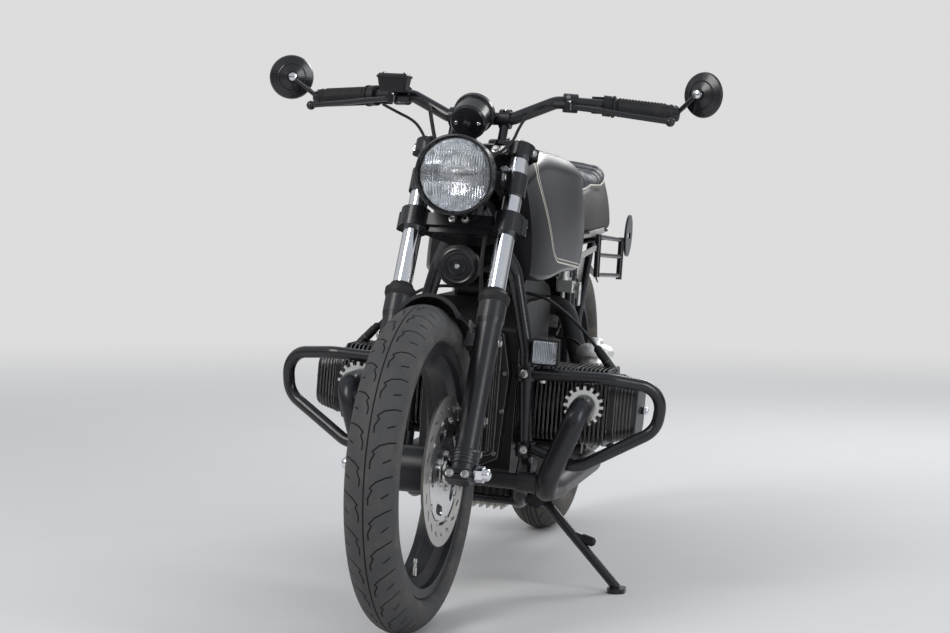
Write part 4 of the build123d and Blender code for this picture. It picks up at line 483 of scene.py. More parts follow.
def blued_pipe():
    """Header paint: satin blue-black, browner and duller low down."""
    pipe = Finish("header paint")
    up = carried(pipe, BODY)[2]
    blotch = pipe.noise(18.0, 6.0, 0.65)
    low = 1.0 - (up + blotch * 120.0).smooth(260.0, 400.0)
    colour = pipe.mix(blotch, (0.016, 0.016, 0.019), (0.032, 0.032, 0.039))
    pipe.set(Base_Color=pipe.mix(low * 0.55, colour, (0.05, 0.044, 0.04)), Metallic=0.5)
    pipe.set(Roughness=(0.33 + (blotch - 0.5) * 0.25 + low * 0.12).clamp(), Coat_Weight=0.15)
    return pipe.bump(pipe.noise(500.0, 4.0), 0.08, 0.0004).material


def sump_metal():
    """Sump: black above, bare bright metal along its worn lower ribs."""
    metal = Finish("sump metal")
    up = carried(metal, BODY)[2]
    blotch = metal.noise(60.0, 6.0, 0.7)
    bare = ((1.0 - (up + blotch * 26.0).smooth(192.0, 214.0)) + metal.worn() * 0.7).clamp()
    metal.set(Base_Color=metal.mix(bare, (0.016, 0.016, 0.016), (0.5, 0.49, 0.46)), Metallic=bare * 0.9)
    metal.set(Roughness=(0.5 - bare * 0.12 + (blotch - 0.5) * 0.2).clamp())
    return metal.bump(metal.noise(600.0, 4.0), 0.25, 0.0006).material


def cover_leather(name, base, sheen, dust=(0.12, 0.11, 0.1)):
    """Leather with grain, creases and a soft sheen on what is rubbed."""
    hide = Finish(name)
    edges = {"feature": "DISTANCE_TO_EDGE"}
    cells = hide.out(hide.node("ShaderNodeTexVoronoi", edges, Vector=hide.here(), Scale=420.0))
    crease = hide.noise(60.0, 8.0, 0.75)
    blotch = hide.noise(14.0, 6.0)
    colour = hide.mix(crease.smooth(0.58, 0.8) * 0.3, hide.mix(blotch, base, sheen), dust)
    hide.set(Base_Color=colour, Roughness=(0.46 + (blotch - 0.5) * 0.25).clamp(), Specular_IOR_Level=0.5)
    return hide.bump((cells * 3.0).clamp() + crease * 0.8, 0.3, 0.0008).material


def reflector():
    """Bright bowl behind the lamp glass, pressed in soft upright facets."""
    bowl = Finish("reflector")
    left, back, up = carried(bowl, FORK)
    facets = abs((left * 0.2).maths("SINE")) + abs((up * 0.11).maths("SINE")) * 0.6
    bowl.set(Base_Color=(0.97, 0.98, 1.0), Metallic=1.0, Roughness=0.14)
    return bowl.bump(facets, 0.35, 0.003).material


def clear_glass(name, rough, tint=(0.96, 0.98, 1.0), bend=1.4):
    """Clear glass, which may still be given flutes."""
    glass = Finish(name)
    return glass.set(Base_Color=tint, Transmission_Weight=1.0, Roughness=rough, IOR=bend)


def lamp_glass():
    """Clear lens with upright flutes, finer in the middle."""
    glass = clear_glass("fluted glass", 0.02, (0.97, 0.985, 1.0), 1.42)
    left, back, up = carried(glass, FORK)
    rise = up - LAMP.z
    middle = 1.0 - abs(rise).smooth(16.0, 20.0)
    flutes = abs((left * 0.62).maths("SINE")) + middle * abs((left * 1.3).maths("SINE")) * 0.5
    rim = ((left * left + rise * rise) ** 0.5).smooth(62.0, 66.0)
    return glass.bump(flutes * (1.0 - rim), 0.55, 0.0012).material


def ribbed_glass():
    """Indicator glass with upright ribs."""
    glass = clear_glass("ribbed glass", 0.03)
    left = carried(glass, BODY)[0]
    return glass.bump(abs((left * 0.9).maths("SINE")), 0.6, 0.0015).material


def red_lens():
    """Tail lamp lens with level ribs."""
    red = Finish("red lens")
    red.set(Base_Color=(0.4, 0.012, 0.01), Roughness=0.16, Coat_Weight=0.6)
    up = carried(red, BODY)[2]
    return red.bump((up * 1.2).maths("SINE"), 0.4, 0.0008).material


def striped_thread(name, base, gap, period):
    """Sewing thread, with the dark gaps between its stitches."""
    thread = Finish(name)
    left, back, up = carried(thread, BODY)
    beat = (left / period + back / period).maths("FRACT")
    thread.set(Base_Color=thread.mix(beat.smooth(0.62, 0.72), base, gap), Roughness=0.8)
    return thread.bump(thread.noise(1800.0, 2.0), 0.3, 0.0003).material


def dial_face():
    """Gauge face: black, with pale ticks round its edge."""
    dial = Finish("dial face")
    left, back, up = carried(dial, FORK)
    ticks = 40
    across = left - GAUGE.x
    rise = (up - GAUGE.z) * math.cos(GAUGE_TILT) - (back - GAUGE.y) * math.sin(GAUGE_TILT)
    reach = (across * across + rise * rise) ** 0.5
    beat = abs((rise.maths("ARCTAN2", across) * (ticks / (2 * math.pi))).maths("FRACT") - 0.5)
    tick = beat.smooth(0.36, 0.42) * reach.smooth(27.5, 28.0) * (1.0 - reach.smooth(33.0, 33.6))
    hub = 1.0 - reach.smooth(9.0, 9.5)
    colour = dial.mix(tick, dial.mix(hub, (0.008, 0.008, 0.009), (0.03, 0.03, 0.03)), (0.8, 0.8, 0.76))
    return dial.set(Base_Color=colour, Roughness=0.4).material


FINISHES = {}


def make_finishes():
    """Makes every finish, under the name of a slot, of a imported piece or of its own."""
    front = (FRONT_HUB, FRONT_AXIS, FRONT_R, 50.0, 30, FRONT_RUNS, (0.0,), 58.0)
    rear = (REAR_HUB, REAR_AXIS, REAR_R, 61.3, 32, REAR_RUNS, (5.0, 17.0), 70.0)
    side_hide = ((0.034, 0.033, 0.031), (0.062, 0.060, 0.057), (0.09, 0.085, 0.08))
    bare_alloy = ((0.78, 0.77, 0.75), (0.95, 0.95, 0.93), 0.9, 0.42, 400.0, 0.15)
    FINISHES.update(
        {
            "body_black": satin_paint("graphite paint", (0.010, 0.010, 0.011), (0.022, 0.022, 0.025)),
            "frame_black": satin_paint(
                "frame paint", (0.006, 0.006, 0.007), (0.013, 0.013, 0.016), rough=0.27, coat=0.35
            ),
            "cast_black": cast_metal(
                "cast black", (0.009, 0.009, 0.011), (0.22, 0.22, 0.24), rough=0.34, strength=0.12
            ),
            "engine_black": cast_metal(
                "engine black", (0.006, 0.006, 0.006), (0.62, 0.61, 0.58), rough=0.42, edge=1.0
            ),
            "aluminium": cast_metal("cast aluminium", (0.50, 0.50, 0.48), (0.7, 0.7, 0.68), 0.92, 0.38),
            "steel": bright_metal("brushed steel", (0.62, 0.61, 0.59), 0.26),
            "chrome": bright_metal("chrome", (0.86, 0.87, 0.9), 0.07),
            "rubber": rubber("rubber", (0.012, 0.012, 0.013), (0.06, 0.055, 0.05)),
            "plastic": rubber("moulded plastic", (0.010, 0.010, 0.011), (0.04, 0.04, 0.04), 0.42),
            "leather": cover_leather("seat top leather", (0.018, 0.019, 0.026), (0.045, 0.046, 0.06)),
            "side leather": cover_leather("seat side leather", *side_hide),
            "mirror": bright_metal("mirror", (0.86, 0.88, 0.9), 0.03),
            "front_tyre": tread("front tread", *front, (0.058, 0.058, 0.060), (0.125, 0.112, 0.098)),
            "rear_tyre": tread("rear tread", *rear, (0.050, 0.048, 0.044), (0.14, 0.12, 0.095)),
            "fuel_tank": tank_paint(),
            "brake_disc": disc_steel(),
            "exhaust_headers": blued_pipe(),
            "sump": sump_metal(),
            "glass": lamp_glass(),
            "piping": cover_leather("piping", (0.5, 0.47, 0.4), (0.62, 0.58, 0.5), (0.3, 0.27, 0.22)),
            "thread": striped_thread("seat thread", (0.5, 0.48, 0.43), (0.03, 0.03, 0.035), 5.0),
            "dial": dial_face(),
            "strut grey": satin_paint("grey strut paint", (0.42, 0.41, 0.39), (0.55, 0.54, 0.51), 0.4, 0.2),
            "carburettors": cast_metal("carburettor alloy", *bare_alloy),
            "exhaust_nuts": bright_metal("star nut alloy", (0.88, 0.87, 0.84), 0.2, 60.0),
            "reflector": reflector(),
            "clear glass": clear_glass("clear glass", 0.05).material,
            "ribbed glass": ribbed_glass(),
            "red_lens": red_lens(),
            "needle": Finish("needle paint").set(Base_Color=(0.75, 0.12, 0.03), Roughness=0.5).material,
        }
    )


# Modelling helpers


def clear():
    """Leaves nothing selected."""
    bpy.ops.object.select_all(action="DESELECT")


def edit(piece):
    """Opens one piece in edit mode with all of it selected."""
    clear()
    piece.select_set(True)
    bpy.context.view_layer.objects.active = piece
    bpy.ops.object.mode_set(mode="EDIT")
    bpy.ops.mesh.select_all(action="SELECT")


def pick(parts, wanted):
    """Selects only those faces or edges of the piece in edit mode that a test wants."""
    bpy.ops.mesh.select_all(action="DESELECT")
    data = bpy.context.object.data
    for part in getattr(bmesh.from_edit_mesh(data), parts):
        part.select = wanted(part)
    bmesh.update_edit_mesh(data)


def done(angle=35.0):
    """Closes edit mode with the faces turned out and smooth where they bend little."""
    bpy.ops.mesh.select_all(action="SELECT")
    bpy.ops.mesh.normals_make_consistent(inside=False)
    bpy.ops.object.mode_set(mode="OBJECT")
    bpy.ops.object.shade_smooth_by_angle(angle=math.radians(angle))
    return bpy.context.object


def lathe(outline, sides=28, angle=35.0):
    """Turned solid about Z from (radius, height) pairs in millimetres."""
    clear()
    radius, height = outline[0]
    bpy.ops.mesh.primitive_circle_add(
        vertices=sides, radius=radius * MM, fill_type="NGON", location=(0, 0, height * MM)
    )
    bpy.ops.object.transform_apply(location=True)
    edit(bpy.context.object)
    for (before, low), (after, high) in zip(outline, outline[1:]):
        bpy.ops.mesh.extrude_region_move(TRANSFORM_OT_translate={"value": (0, 0, (high - low) * MM)})
        if after != before:
            scale = after / before
            bpy.ops.transform.resize(value=(scale, scale, 1), center_override=(0, 0, high * MM))
    return done(angle)


def block(size):
    """Opens a plain block in edit mode, of a size in millimetres, with its middle at the origin."""
    clear()
    bpy.ops.mesh.primitive_cube_add(size=1.0)
    bpy.context.object.scale = Vector(size) * MM
    bpy.ops.object.transform_apply(scale=True)
    edit(bpy.context.object)


def slab(size, bevel=1.0):
    """Block with all its edges rounded, in millimetres, with its middle at the origin."""
    block(size)
    bpy.ops.mesh.bevel(offset=bevel * MM, segments=3, affect="EDGES")
    return done()


def plate(width, height, thickness, corner):
    """Flat plate with round corners, in millimetres, with its middle at the origin."""
    block((width, height, thickness))
    bpy.ops.mesh.select_mode(type="EDGE")
    upright_length = 0.5 * thickness * MM
    pick("edges", lambda edge: abs(edge.verts[0].co.z - edge.verts[1].co.z) > upright_length)
    bpy.ops.mesh.bevel(offset=corner * MM, segments=8, affect="EDGES")
    bpy.ops.mesh.select_mode(type="VERT")
    return done()


def welded(*parts):
    """Several finished shapes as one object."""
    clear()
    for part in parts:
        part.select_set(True)
    bpy.context.view_layer.objects.active = parts[0]
    bpy.ops.object.join()
    return bpy.context.object


def copies(model, places):
    """One object made of copies of a model, one at each placement."""
    made = []
    for place in places:
        copy = model.copy()
        copy.data = model.data.copy()
        bpy.context.collection.objects.link(copy)
        copy.matrix_world = place
        made.append(copy)
    bpy.data.objects.remove(model)
    bpy.context.view_layer.update()
    whole = welded(*made)
    bpy.ops.object.transform_apply(location=True, rotation=True, scale=True)
    return whole


def own(piece, name, body, slot, finish=None, replaces=()):
    """Names a finished piece, gives it its finish, and lets it ride on a body."""
    piece.name = piece.data.name = name
    piece.data.materials.clear()
    piece.data.materials.append(FINISHES[finish or slot])
    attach(piece, body)
    if replaces:
        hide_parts(*replaces)
    return piece


def fit(name, model, spots, body, slot, finish=None):
    """A piece made of copies of a model, one at each spot: its place, and the way it points."""
    return own(copies(model, [stand_at(FRAMES[body], *spot) for spot in spots]), name, body, slot, finish)


def hex_bolt(radius, height):
    """Bolt head on its washer."""
    washer = lathe([(radius * 1.35, 0), (radius * 1.35, 1.0), (radius * 1.25, 1.3)], 24)
    head = lathe([(radius, 1.2), (radius, height - 0.8), (radius * 0.86, height)], 6, 20.0)
    return welded(washer, head)


def cap_screw(radius, height):
    """Cap screw with its socket."""
    outline = [(radius, 0), (radius, height - 0.6), (radius - 0.6, height), (radius * 0.55, height)]
    return lathe(outline + [(radius * 0.5, height * 0.45)], 20)


def domed_nut(radius, height):
    """Nut with a round cap."""
    outline = [(radius * 1.25, 0), (radius * 1.25, 1.2), (radius * 0.98, 1.3)]
    outline += [(radius * 0.96, height * 0.45), (radius * 0.88, height * 0.7), (radius * 0.62, height * 0.9)]
    return lathe(outline + [(radius * 0.25, height), (0.2, height)], 28)


def strand(name, frame, runs, radius, cyclic=False):
    """Round cord along smooth curves through millimetre routes, as one curve object."""
    data = bpy.data.curves.new(name, "CURVE")
    data.dimensions = "3D"
    data.bevel_depth = radius * MM
    data.bevel_resolution = 4
    data.resolution_u = 10
    data.use_fill_caps = True
    for run in runs:
        spline = data.splines.new("NURBS")
        spline.points.add(len(run) - 1)
        for point, place in zip(spline.points, run):
            point.co = (*(frame @ (Vector(place) * MM)), 1.0)
        spline.order_u = 3
        spline.use_cyclic_u = cyclic
        spline.use_endpoint_u = not cyclic
    piece = bpy.data.objects.new(name, data)
    bpy.context.collection.objects.link(piece)
    return piece


# Fork


class FORK_PG_sizes(bpy.types.PropertyGroup):
    bolt: bpy.props.FloatProperty(
        name="Bolt head", description="Radius of the fork's bolt heads in mm", default=6.0
    )
    grip_ribs: bpy.props.IntProperty(
        name="Grip ribs", description="Ribs along each handlebar grip", default=15
    )
    reflector_depth: bpy.props.FloatProperty(
        name="Reflector depth", description="Depth of the lamp's reflector in mm", default=52.0
    )


class FORK_OT_fasteners(bpy.types.Operator):
    """Adds the bright bolts and nuts of the fork, the yokes and the handlebar"""

    bl_idname = "motorcycle.fork_fasteners"
    bl_label = "Fork fasteners"

    def execute(self, context):
        front, rear = -LEG_BACK, LEG_BACK
        bolts, small = [], []
        for side in SIDES:
            out, perch = (side, 0, 0), at_side(side, PERCH)
            # Axle clamps, mudguard stays, clamps of both yokes, and the lamp's ears
            bolts += [(leg(side * LEG_X + x, -33, -14), front) for x in (-15, 15)]
            bolts.append((leg(side * 120.3, 0, 270), out))
            bolts += [(leg(side * 123, 17, 522 + s), rear) for s in (-9, 9)]
            bolts += [(leg(side * 121, -1, 684), front), (at_side(side, (85.5, 228, 869)), out)]
            # Gauge bracket, lever pivots, perch clamps, handlebar clamps and lever screws
            small.append((GAUGE - GAUGE_WAY * 26 + Vector((side * 23, 0, 0)), -GAUGE_WAY))
            small.append((perch + Vector((side * 8, -46, 1)), UP))
            small += [(perch + Vector((0, -19, z)), FRONT) for z in (-11, 11)]
            small += [(YOKE_TOP + Vector((side * 52, 27.4 + back, 73)), UP) for back in (-11, 11)]
            small.append((perch + Vector((0, 19, 0)), -FRONT))
            small.append((at_side(side, BAR_TIP + BAR_WAY * 7 + Vector((0, 0, 14.6))), UP))
        # Caliper mounts, and the front of both yokes
        bolts += [(leg(105, 55.5, s), LEFT) for s in (60, 130)]
        bolts += [(leg(x, -14, 524), front) for x in (-14, 12)]
        bolts += [(leg(x, -14, 684), front) for x in (46, 62)]
        # Reservoir lid and lamp rim
        small += [(Vector((-181 + x, 338.1, 1065.2)), UP) for x in (-22, 22)]
        small.append((LAMP + Vector((0, 6, -79.6)), -UP))
        fit("fork_bolts", hex_bolt(context.scene.fork_sizes.bolt, 6), bolts, "fork", "steel")
        fit("fork_screws", cap_screw(4.0, 3.2), small, "fork", "chrome")
        nuts = [(FRONT_AXLE + LEFT * 136.4, LEFT), (FRONT_AXLE - LEFT * 128.4, -LEFT)]
        fit("axle_nuts", domed_nut(12.5, 15), nuts, "fork", "chrome")
        fit("stem_nut", domed_nut(15, 12), [(leg(0, 41, 706), LEG_UP)], "fork", "steel")
        ring = lathe([(18.6, 0), (18.6, 2.5), (16, 4), (11, 4), (10.5, 2.8)], 32)
        cap = welded(ring, lathe([(9, 2), (9, 6.5), (8, 7.5)], 6, 20))
        fit("fork_caps", cap, [(leg(s * LEG_X, 0, 702), LEG_UP) for s in SIDES], "fork", "steel")
        return {"FINISHED"}


class FORK_OT_trim(bpy.types.Operator):
    """Adds slider collars, grip ribs, mirror pivots and rings, caliper caps and switch toggles"""

    bl_idname = "motorcycle.fork_trim"
    bl_label = "Fork trim"

    def execute(self, context):
        collar = [(25.4, 0)]
        for ring in range(4):
            low = 2 + ring * 7
            collar += [(25.8, low), (27.3, low + 1), (27.3, low + 4), (25.8, low + 5)]
        collar.append((25.4, 31))
        spots = [(leg(s * LEG_X, 0, 12), LEG_UP) for s in SIDES]
        fit("slider_collars", lathe(collar, 40, 50), spots, "fork", "cast_black")
        ribs = context.scene.fork_sizes.grip_ribs
        outline = [(18.2, 11)]
        pitch = 96 / ribs
        for rib in range(ribs):
            low = 12 + rib * pitch
            outline += [(18.2, low), (19.4, low + pitch * 0.25), (19.4, low + pitch * 0.6)]
            outline.append((18.2, low + pitch * 0.8))
        outline.append((18.0, 109))
        spots = [(at_side(s, BAR_TIP - BAR_WAY * 122), at_side(s, BAR_WAY)) for s in SIDES]
        fit("grip_ribs", lathe(outline, 32, 60), spots, "fork", "rubber")
        places = []
        for side in SIDES:
            way = Vector((side * math.sin(MIRROR_TURN), math.cos(MIRROR_TURN), 0))
            places.append(stand_at(FORK, at_side(side, MIRROR) - way * 20.4, -way))
        hub = lathe([(9.6, 0), (9.6, 5), (8.4, 8), (5, 9.6), (0.3, 10)], 28)
        own(copies(hub, places), "mirror_pivots", "fork", "chrome")
        ring = lathe([(30, 0), (30, 1.2), (28.6, 2.2), (27, 1.2), (27, 0)], 40, 50)
        places = [place @ Matrix.Translation((0, 0, -10.4 * MM)) for place in places]
        own(copies(ring, places), "mirror_rings", "fork", "frame_black")
        outline = [(15.5, 0), (15.5, 1.2), (14.4, 2.2), (9, 2.2), (8.4, 0.8), (5, 0.8), (4.6, 3)]
        pistons = [math.radians(angle) for angle in (46, 66)]
        spots = [(leg(95.4, 116 * math.cos(a), 116 * math.sin(a)), LEFT) for a in pistons]
        fit("caliper_caps", lathe(outline + [(0.4, 3.2)], 32), spots, "fork", "cast_black")
        toggles = []
        for x, z, size in ((-8, 8, (9, 8, 6)), (7, 8, (7, 8, 5)), (0, -9, (13, 9, 7))):
            place = BAR_TIP - BAR_WAY * 148 + Vector((x, 49, z))
            toggles += [copies(slab(size, 1.2), [stand_at(FORK, at_side(s, place))]) for s in SIDES]
        own(welded(*toggles), "switch_toggles", "fork", "plastic")
        return {"FINISHED"}


class FORK_OT_lamp(bpy.types.Operator):
    """Adds the lamp's reflector and bulb hood, and the gauge's dial, needle and glass"""

    bl_idname = "motorcycle.lamp"
    bl_label = "Lamp and gauge"

    def execute(self, context):
        depth = context.scene.fork_sizes.reflector_depth
        shares = [number / 10 for number in range(1, 11)]
        inner = [(14 + 57 * math.sqrt(share), -12 - depth * (1 - share)) for share in shares]
        outer = [(12, -14 - depth)] + [(r + 1.5, z - 1.5) for r, z in inner] + [(71, -11.5)]
        bowl = lathe(outer + list(reversed(inner)), 64, 60)
        fit("lamp_reflector", bowl, [(LAMP, FRONT)], "fork", "chrome", "reflector")
        outline = [(3, -60), (9, -58), (9.5, -34), (12.5, -33), (13.5, -26), (11, -21), (5, -19)]
        hood = lathe(outline + [(0.4, -18.6)], 32)
        fit("bulb_hood", hood, [(LAMP, FRONT)], "fork", "chrome", "steel")
        face = lathe([(36.6, 0), (36.6, 0.6), (36.2, 0.8)], 48)
        fit("dial", face, [(GAUGE + GAUGE_WAY * 30, GAUGE_WAY)], "fork", "plastic", "dial")
        pointer = welded(slab((1.6, 27, 0.6), 0.2), lathe([(4, -0.4), (4, 1.2), (2, 1.8)], 20))
        place = stand_at(FORK, GAUGE + GAUGE_WAY * 31.6, GAUGE_WAY) @ Matrix.Rotation(2.2, 4, "Z")
        place = place @ Matrix.Translation((0, 4 * MM, 0))
        own(copies(pointer, [place]), "dial_needle", "fork", "plastic", "needle")
        pane = lathe([(37.5, 0), (37.5, 1.0), (36, 1.4), (20, 2.0), (0.4, 2.2)], 48, 60)
        fit("dial_glass", pane, [(GAUGE + GAUGE_WAY * 33, GAUGE_WAY)], "fork", "glass", "clear glass")
        return {"FINISHED"}


# Hoses and cables of the fork: radius, and route on the fork
FORK_ROUTES = {
    "upper_brake_hose": (
        4.0,
        [(-149.9, 350.1, 1017.4), (-109.9, 350.1, 1017.4), (-88, 302.6, 971.7), (-64, 271.6, 911.7)]
        + [(-54, 275.2, 833.9), (-54, 254.7, 795.1)],
    ),
    "lower_brake_hose": (
        4.0,
        [(54, 231.8, 751.6), (54, 208.5, 707.4), (58, 209.1, 631.4), (76, 177.2, 540.8), (78, 170.1, 484.6)]
        + [(72.5, 172.7, 438.4), (72.5, 130.8, 407.7)],
    ),
    "clutch_cable": (
        3.0,
        [(149.9, 350.1, 1017.4), (115.9, 350.1, 1017.4), (96, 299.6, 974.7), (87.5, 270.9, 930.3)]
        + [(57.7, 250, 909.5)],
    ),
    "throttle_cable": (
        3.0,
        [(-220.4, 393.6, 1003.7), (-190, 388.6, 989.7), (-140, 348.6, 973.7), (-106, 294.6, 953.7)]
        + [(-87.5, 270.9, 930.3), (-57.7, 250, 909.5)],
    ),
}


class CABLES_OT_add(bpy.types.Operator):
    """Lays the hoses and cables along their routes"""

    bl_idname = "motorcycle.cables"
    bl_label = "Cables and hoses"

    def execute(self, context):
        for name, (radius, route) in FORK_ROUTES.items():
            own(strand(name, FORK, [route], radius), name, "fork", "rubber", replaces=["control_cables"])
        for side, y in BANKS:
            word = "left" if side > 0 else "right"
            plug, top = (263.9, y + 16, 501.5), (242, y + 16, 527)
            lead = [top, (216, y + 16, 557.4), (160, 535, 606), (110, 540, 630), (60.1, 540, 630)]
            hose = [(104, 869.8, 595.9), (104, 869.8, 536), (106, 790, 520)]
            hose += [(172.3, y + 179.1, 530.9), (197.3, y + 154.1, 503)]
            for name, radius, route in (("plug_lead", 3.5, lead), ("fuel_hose", 3.0, hose)):
                piece = strand(name, BODY, [[at_side(side, p) for p in route]], radius)
                own(piece, name + "_" + word, "chassis", "rubber", replaces=["engine_leads"])
            start, end = at_side(side, plug), at_side(side, top)
            long = (end - start).length
            outline = [(9.5, 0), (9.5, long * 0.7), (8, long * 0.8), (8.6, long * 0.84), (8.6, long)]
            boot = copies(lathe(outline + [(5, long + 5)], 28), [stand_at(BODY, start, end - start)])
            own(boot, "plug_boot_" + word, "chassis", "rubber", replaces=["engine_leads"])
        return {"FINISHED"}


# Wheels


class WHEELS_OT_details(bpy.types.Operator):
    """Adds the brake disc's rivets and bolts, the cap over its hub, and a valve to each wheel"""

    bl_idname = "motorcycle.wheel_details"
    bl_label = "Wheel details"

    def execute(self, context):
        middle = FRONT_AXLE + LEFT * DISC_FACE
        rivet = lathe([(6.5, 0), (6.5, 1.6), (5.4, 2.2), (3.2, 2.2), (2.8, 1.2)], 20)
        rivets, bolts = ([(p, LEFT) for p in around(middle, *ring)] for ring in ((99, 10), (34, 5)))
        fit("disc_rivets", rivet, rivets, "front_wheel", "steel")
        fit("disc_bolts", hex_bolt(5.5, 5.5), bolts, "front_wheel", "steel")
        cone = lathe([(31, 0), (31, 1), (24, 3), (22, 7), (17, 8)], 36)
        fit("hub_cap", cone, [(middle, LEFT)], "front_wheel", "steel")
        outline = [(3.6, 0), (3.6, 16), (2.6, 17), (2.6, 24), (3.4, 25), (3.4, 32), (2.6, 33)]
        seat = Vector((12, 0, -203))
        fit("front_valve", lathe(outline, 16), [(FRONT_AXLE + seat, UP)], "front_wheel", "steel")
        fit("rear_valve", lathe(outline, 16), [(REAR_AXLE + seat, UP)], "rear_wheel", "steel")
        return {"FINISHED"}


# Engine and chassis


def clamp_front(z):
    """Front face of a crash bar's clamp on the left down tube, at one height."""
    top, foot = 520, 296
    share = (z - top) / (foot - top)
    return Vector((118 + 13 * share, 388 + 14 * share, z))


class ENGINE_OT_details(bpy.types.Operator):
    """Adds the bolts of the engine and its guards, the ribs of its covers and the carburettor domes"""

    bl_idname = "motorcycle.engine_details"
    bl_label = "Engine details"

    def execute(self, context):
        bright, dark, ribs, domes, nuts = [], [], [], [], []
        taper = math.tan(math.radians(14))
        for side, y in BANKS:
            out, bank = (side, 0, 0), Vector((0, y, CRANK_UP))
            dark += [(bank + Vector((side * 287.5, b, up)), out) for b in (-71, 71) for up in (-44, 44)]
            bright += [(at_side(side, clamp_front(z)), FRONT) for z in (474, 318)]
            bright.append((Vector((side * 157, 415.5, 463)), -UP))
            domes.append((Vector((side * 220.6, y + 130.8, 502)), UP))
            nuts.append((bank + Vector((side * 353.6, 0, 0)), out))
            for depth in range(5, 38, 7):
                narrow = 2 * depth * taper
                rib = plate(158 - narrow, 134 - narrow, 2.2, 38)
                place = bank + Vector((side * (302 + depth), 0, 0))
                ribs.append(copies(rib, [stand_at(BODY, place, out)]))
        screws = ((66, 302), (76, 390), (76, 468), (60, 540))
        dark += [(Vector((side * x, 417.5, z)), FRONT) for side in SIDES for x, z in screws]
        drive = around(REAR_AXLE - LEFT * 129, 74, 8, math.radians(22.5))
        dark += [(place, -LEFT) for place in drive]
        fit("clamp_bolts", hex_bolt(6.2, 6.5), bright, "chassis", "steel")
        fit("cover_screws", cap_screw(4.6, 4.5), dark, "chassis", "steel")
        own(welded(*ribs), "cover_ribs", "chassis", "engine_black")
        outline = [(40, 0), (40, 9), (38, 15), (33, 20), (24, 24), (15, 26), (14, 34), (9, 38), (0.4, 38.5)]
        fit("carburettor_domes", lathe(outline, 48), domes, "chassis", "aluminium", "carburettors")
        fit("cover_nuts", domed_nut(7.5, 9), nuts, "chassis", "chrome")
        plug = lathe([(9, 0), (9, 3), (7, 4), (7, 5.5)], 24)
        fit("drain_plug", plug, [(Vector((0, 560, 175.8)), -UP)], "chassis", "steel")
        return {"FINISHED"}


def add_indicators():
    """Bright plate, ribbed lens and open frame in front of each indicator's housing."""
    plates, lenses, bezels = ([((s * 160, y, 521.6), FRONT) for s in SIDES] for y in (395.9, 391.4, 396.0))
    fit("indicator_reflectors", slab((47, 44, 1.6), 0.6), plates, "chassis", "chrome")
    fit("indicator_lenses", slab((49, 46, 6.5), 2.8), lenses, "chassis", "glass", "ribbed glass")
    bezel = slab((57, 54, 5), 1.9)
    edit(bezel)
    pick("faces", lambda face: abs(face.normal.z) > 0.99)
    bpy.ops.mesh.inset(thickness=3.2 * MM)
    bpy.ops.mesh.bridge_edge_loops()
    done()
    fit("indicator_bezels", bezel, bezels, "chassis", "plastic")


class CHASSIS_OT_trim(bpy.types.Operator):
    """Adds the horn's rings, indicator glass, petcock levers, cap ring, tail lamp housing and struts"""

    bl_idname = "motorcycle.chassis_trim"
    bl_label = "Chassis trim"

    def execute(self, context):
        rings = [(35.5, 0), (35.5, 2.4), (33, 3.4), (30, 2), (27.5, 2), (26.5, 3.6), (23.5, 3.6), (22.5, 2)]
        rings += [(19, 1.6), (18, 3.8), (13.5, 4.4), (12.5, 3), (9.5, 3), (8.5, 4.6), (6.5, 4.8)]
        pressed = lathe(rings, 56, 28)
        fit("horn_rings", pressed, [((3, 217, 690), FRONT)], "chassis", "plastic", "frame_black")
        fit("horn_screw", cap_screw(4.8, 2.4), [((3, 212.6, 690), FRONT)], "chassis", "chrome")
        add_indicators()
        levers = [((s * 143.6, 866, 616), (s, 0, 0)) for s in SIDES]
        fit("petcock_levers", slab((11, 44, 3.2), 1.4), levers, "chassis", "chrome")
        ring = lathe([(37.5, 0), (37.5, 1.6), (35.8, 2.6), (34.2, 1.6), (34.2, 0)], 56, 50)
        fit("cap_ring", ring, [((0, 599.8, 931.6), UP)], "chassis", "frame_black")
        lock = lathe([(12, 0), (12, 1.4), (10, 2.4), (4, 2.4), (3.4, 1.2)], 32)
        fit("cap_lock", lock, [((0, 599.8, 947), UP)], "chassis", "steel")
        hood = slab((95, 37, 65), 5)
        edit(hood)
        pick("faces", lambda face: face.normal.y > 0.99)
        bpy.ops.mesh.inset(thickness=3.0 * MM)
        bpy.ops.mesh.extrude_region_move(TRANSFORM_OT_translate={"value": (0, -6 * MM, 0)})
        done()
        fit("tail_lamp_housing", hood, [((0, 1408.5, 742), UP)], "chassis", "plastic")
        struts = []
        for start, end in (
            ((116, 968, 742), (151, 1024, 752)),
            ((118, 1010, 742), (153, 1070, 756)),
            ((112, 925, 688), (152, 988, 718)),
        ):
            start, end = Vector(start), Vector(end)
            way = end - start
            struts.append(copies(slab((5, 13, way.length), 1.4), [stand_at(BODY, (start + end) / 2, way)]))
        own(welded(*struts), "carrier_struts", "chassis", "aluminium", "strut grey")
        sleeve = lathe([(9.2, 0), (10.2, 1), (10.2, 20), (9.8, 26), (6, 30), (0.4, 31)], 28)
        ball, elbow = Vector((258, 561, 121)), Vector((213, 570, 131))
        way = ball - elbow
        fit("stand_bumper", sleeve, [(ball - way.normalized() * 18, way)], "side_stand", "rubber")
        return {"FINISHED"}


# Seat


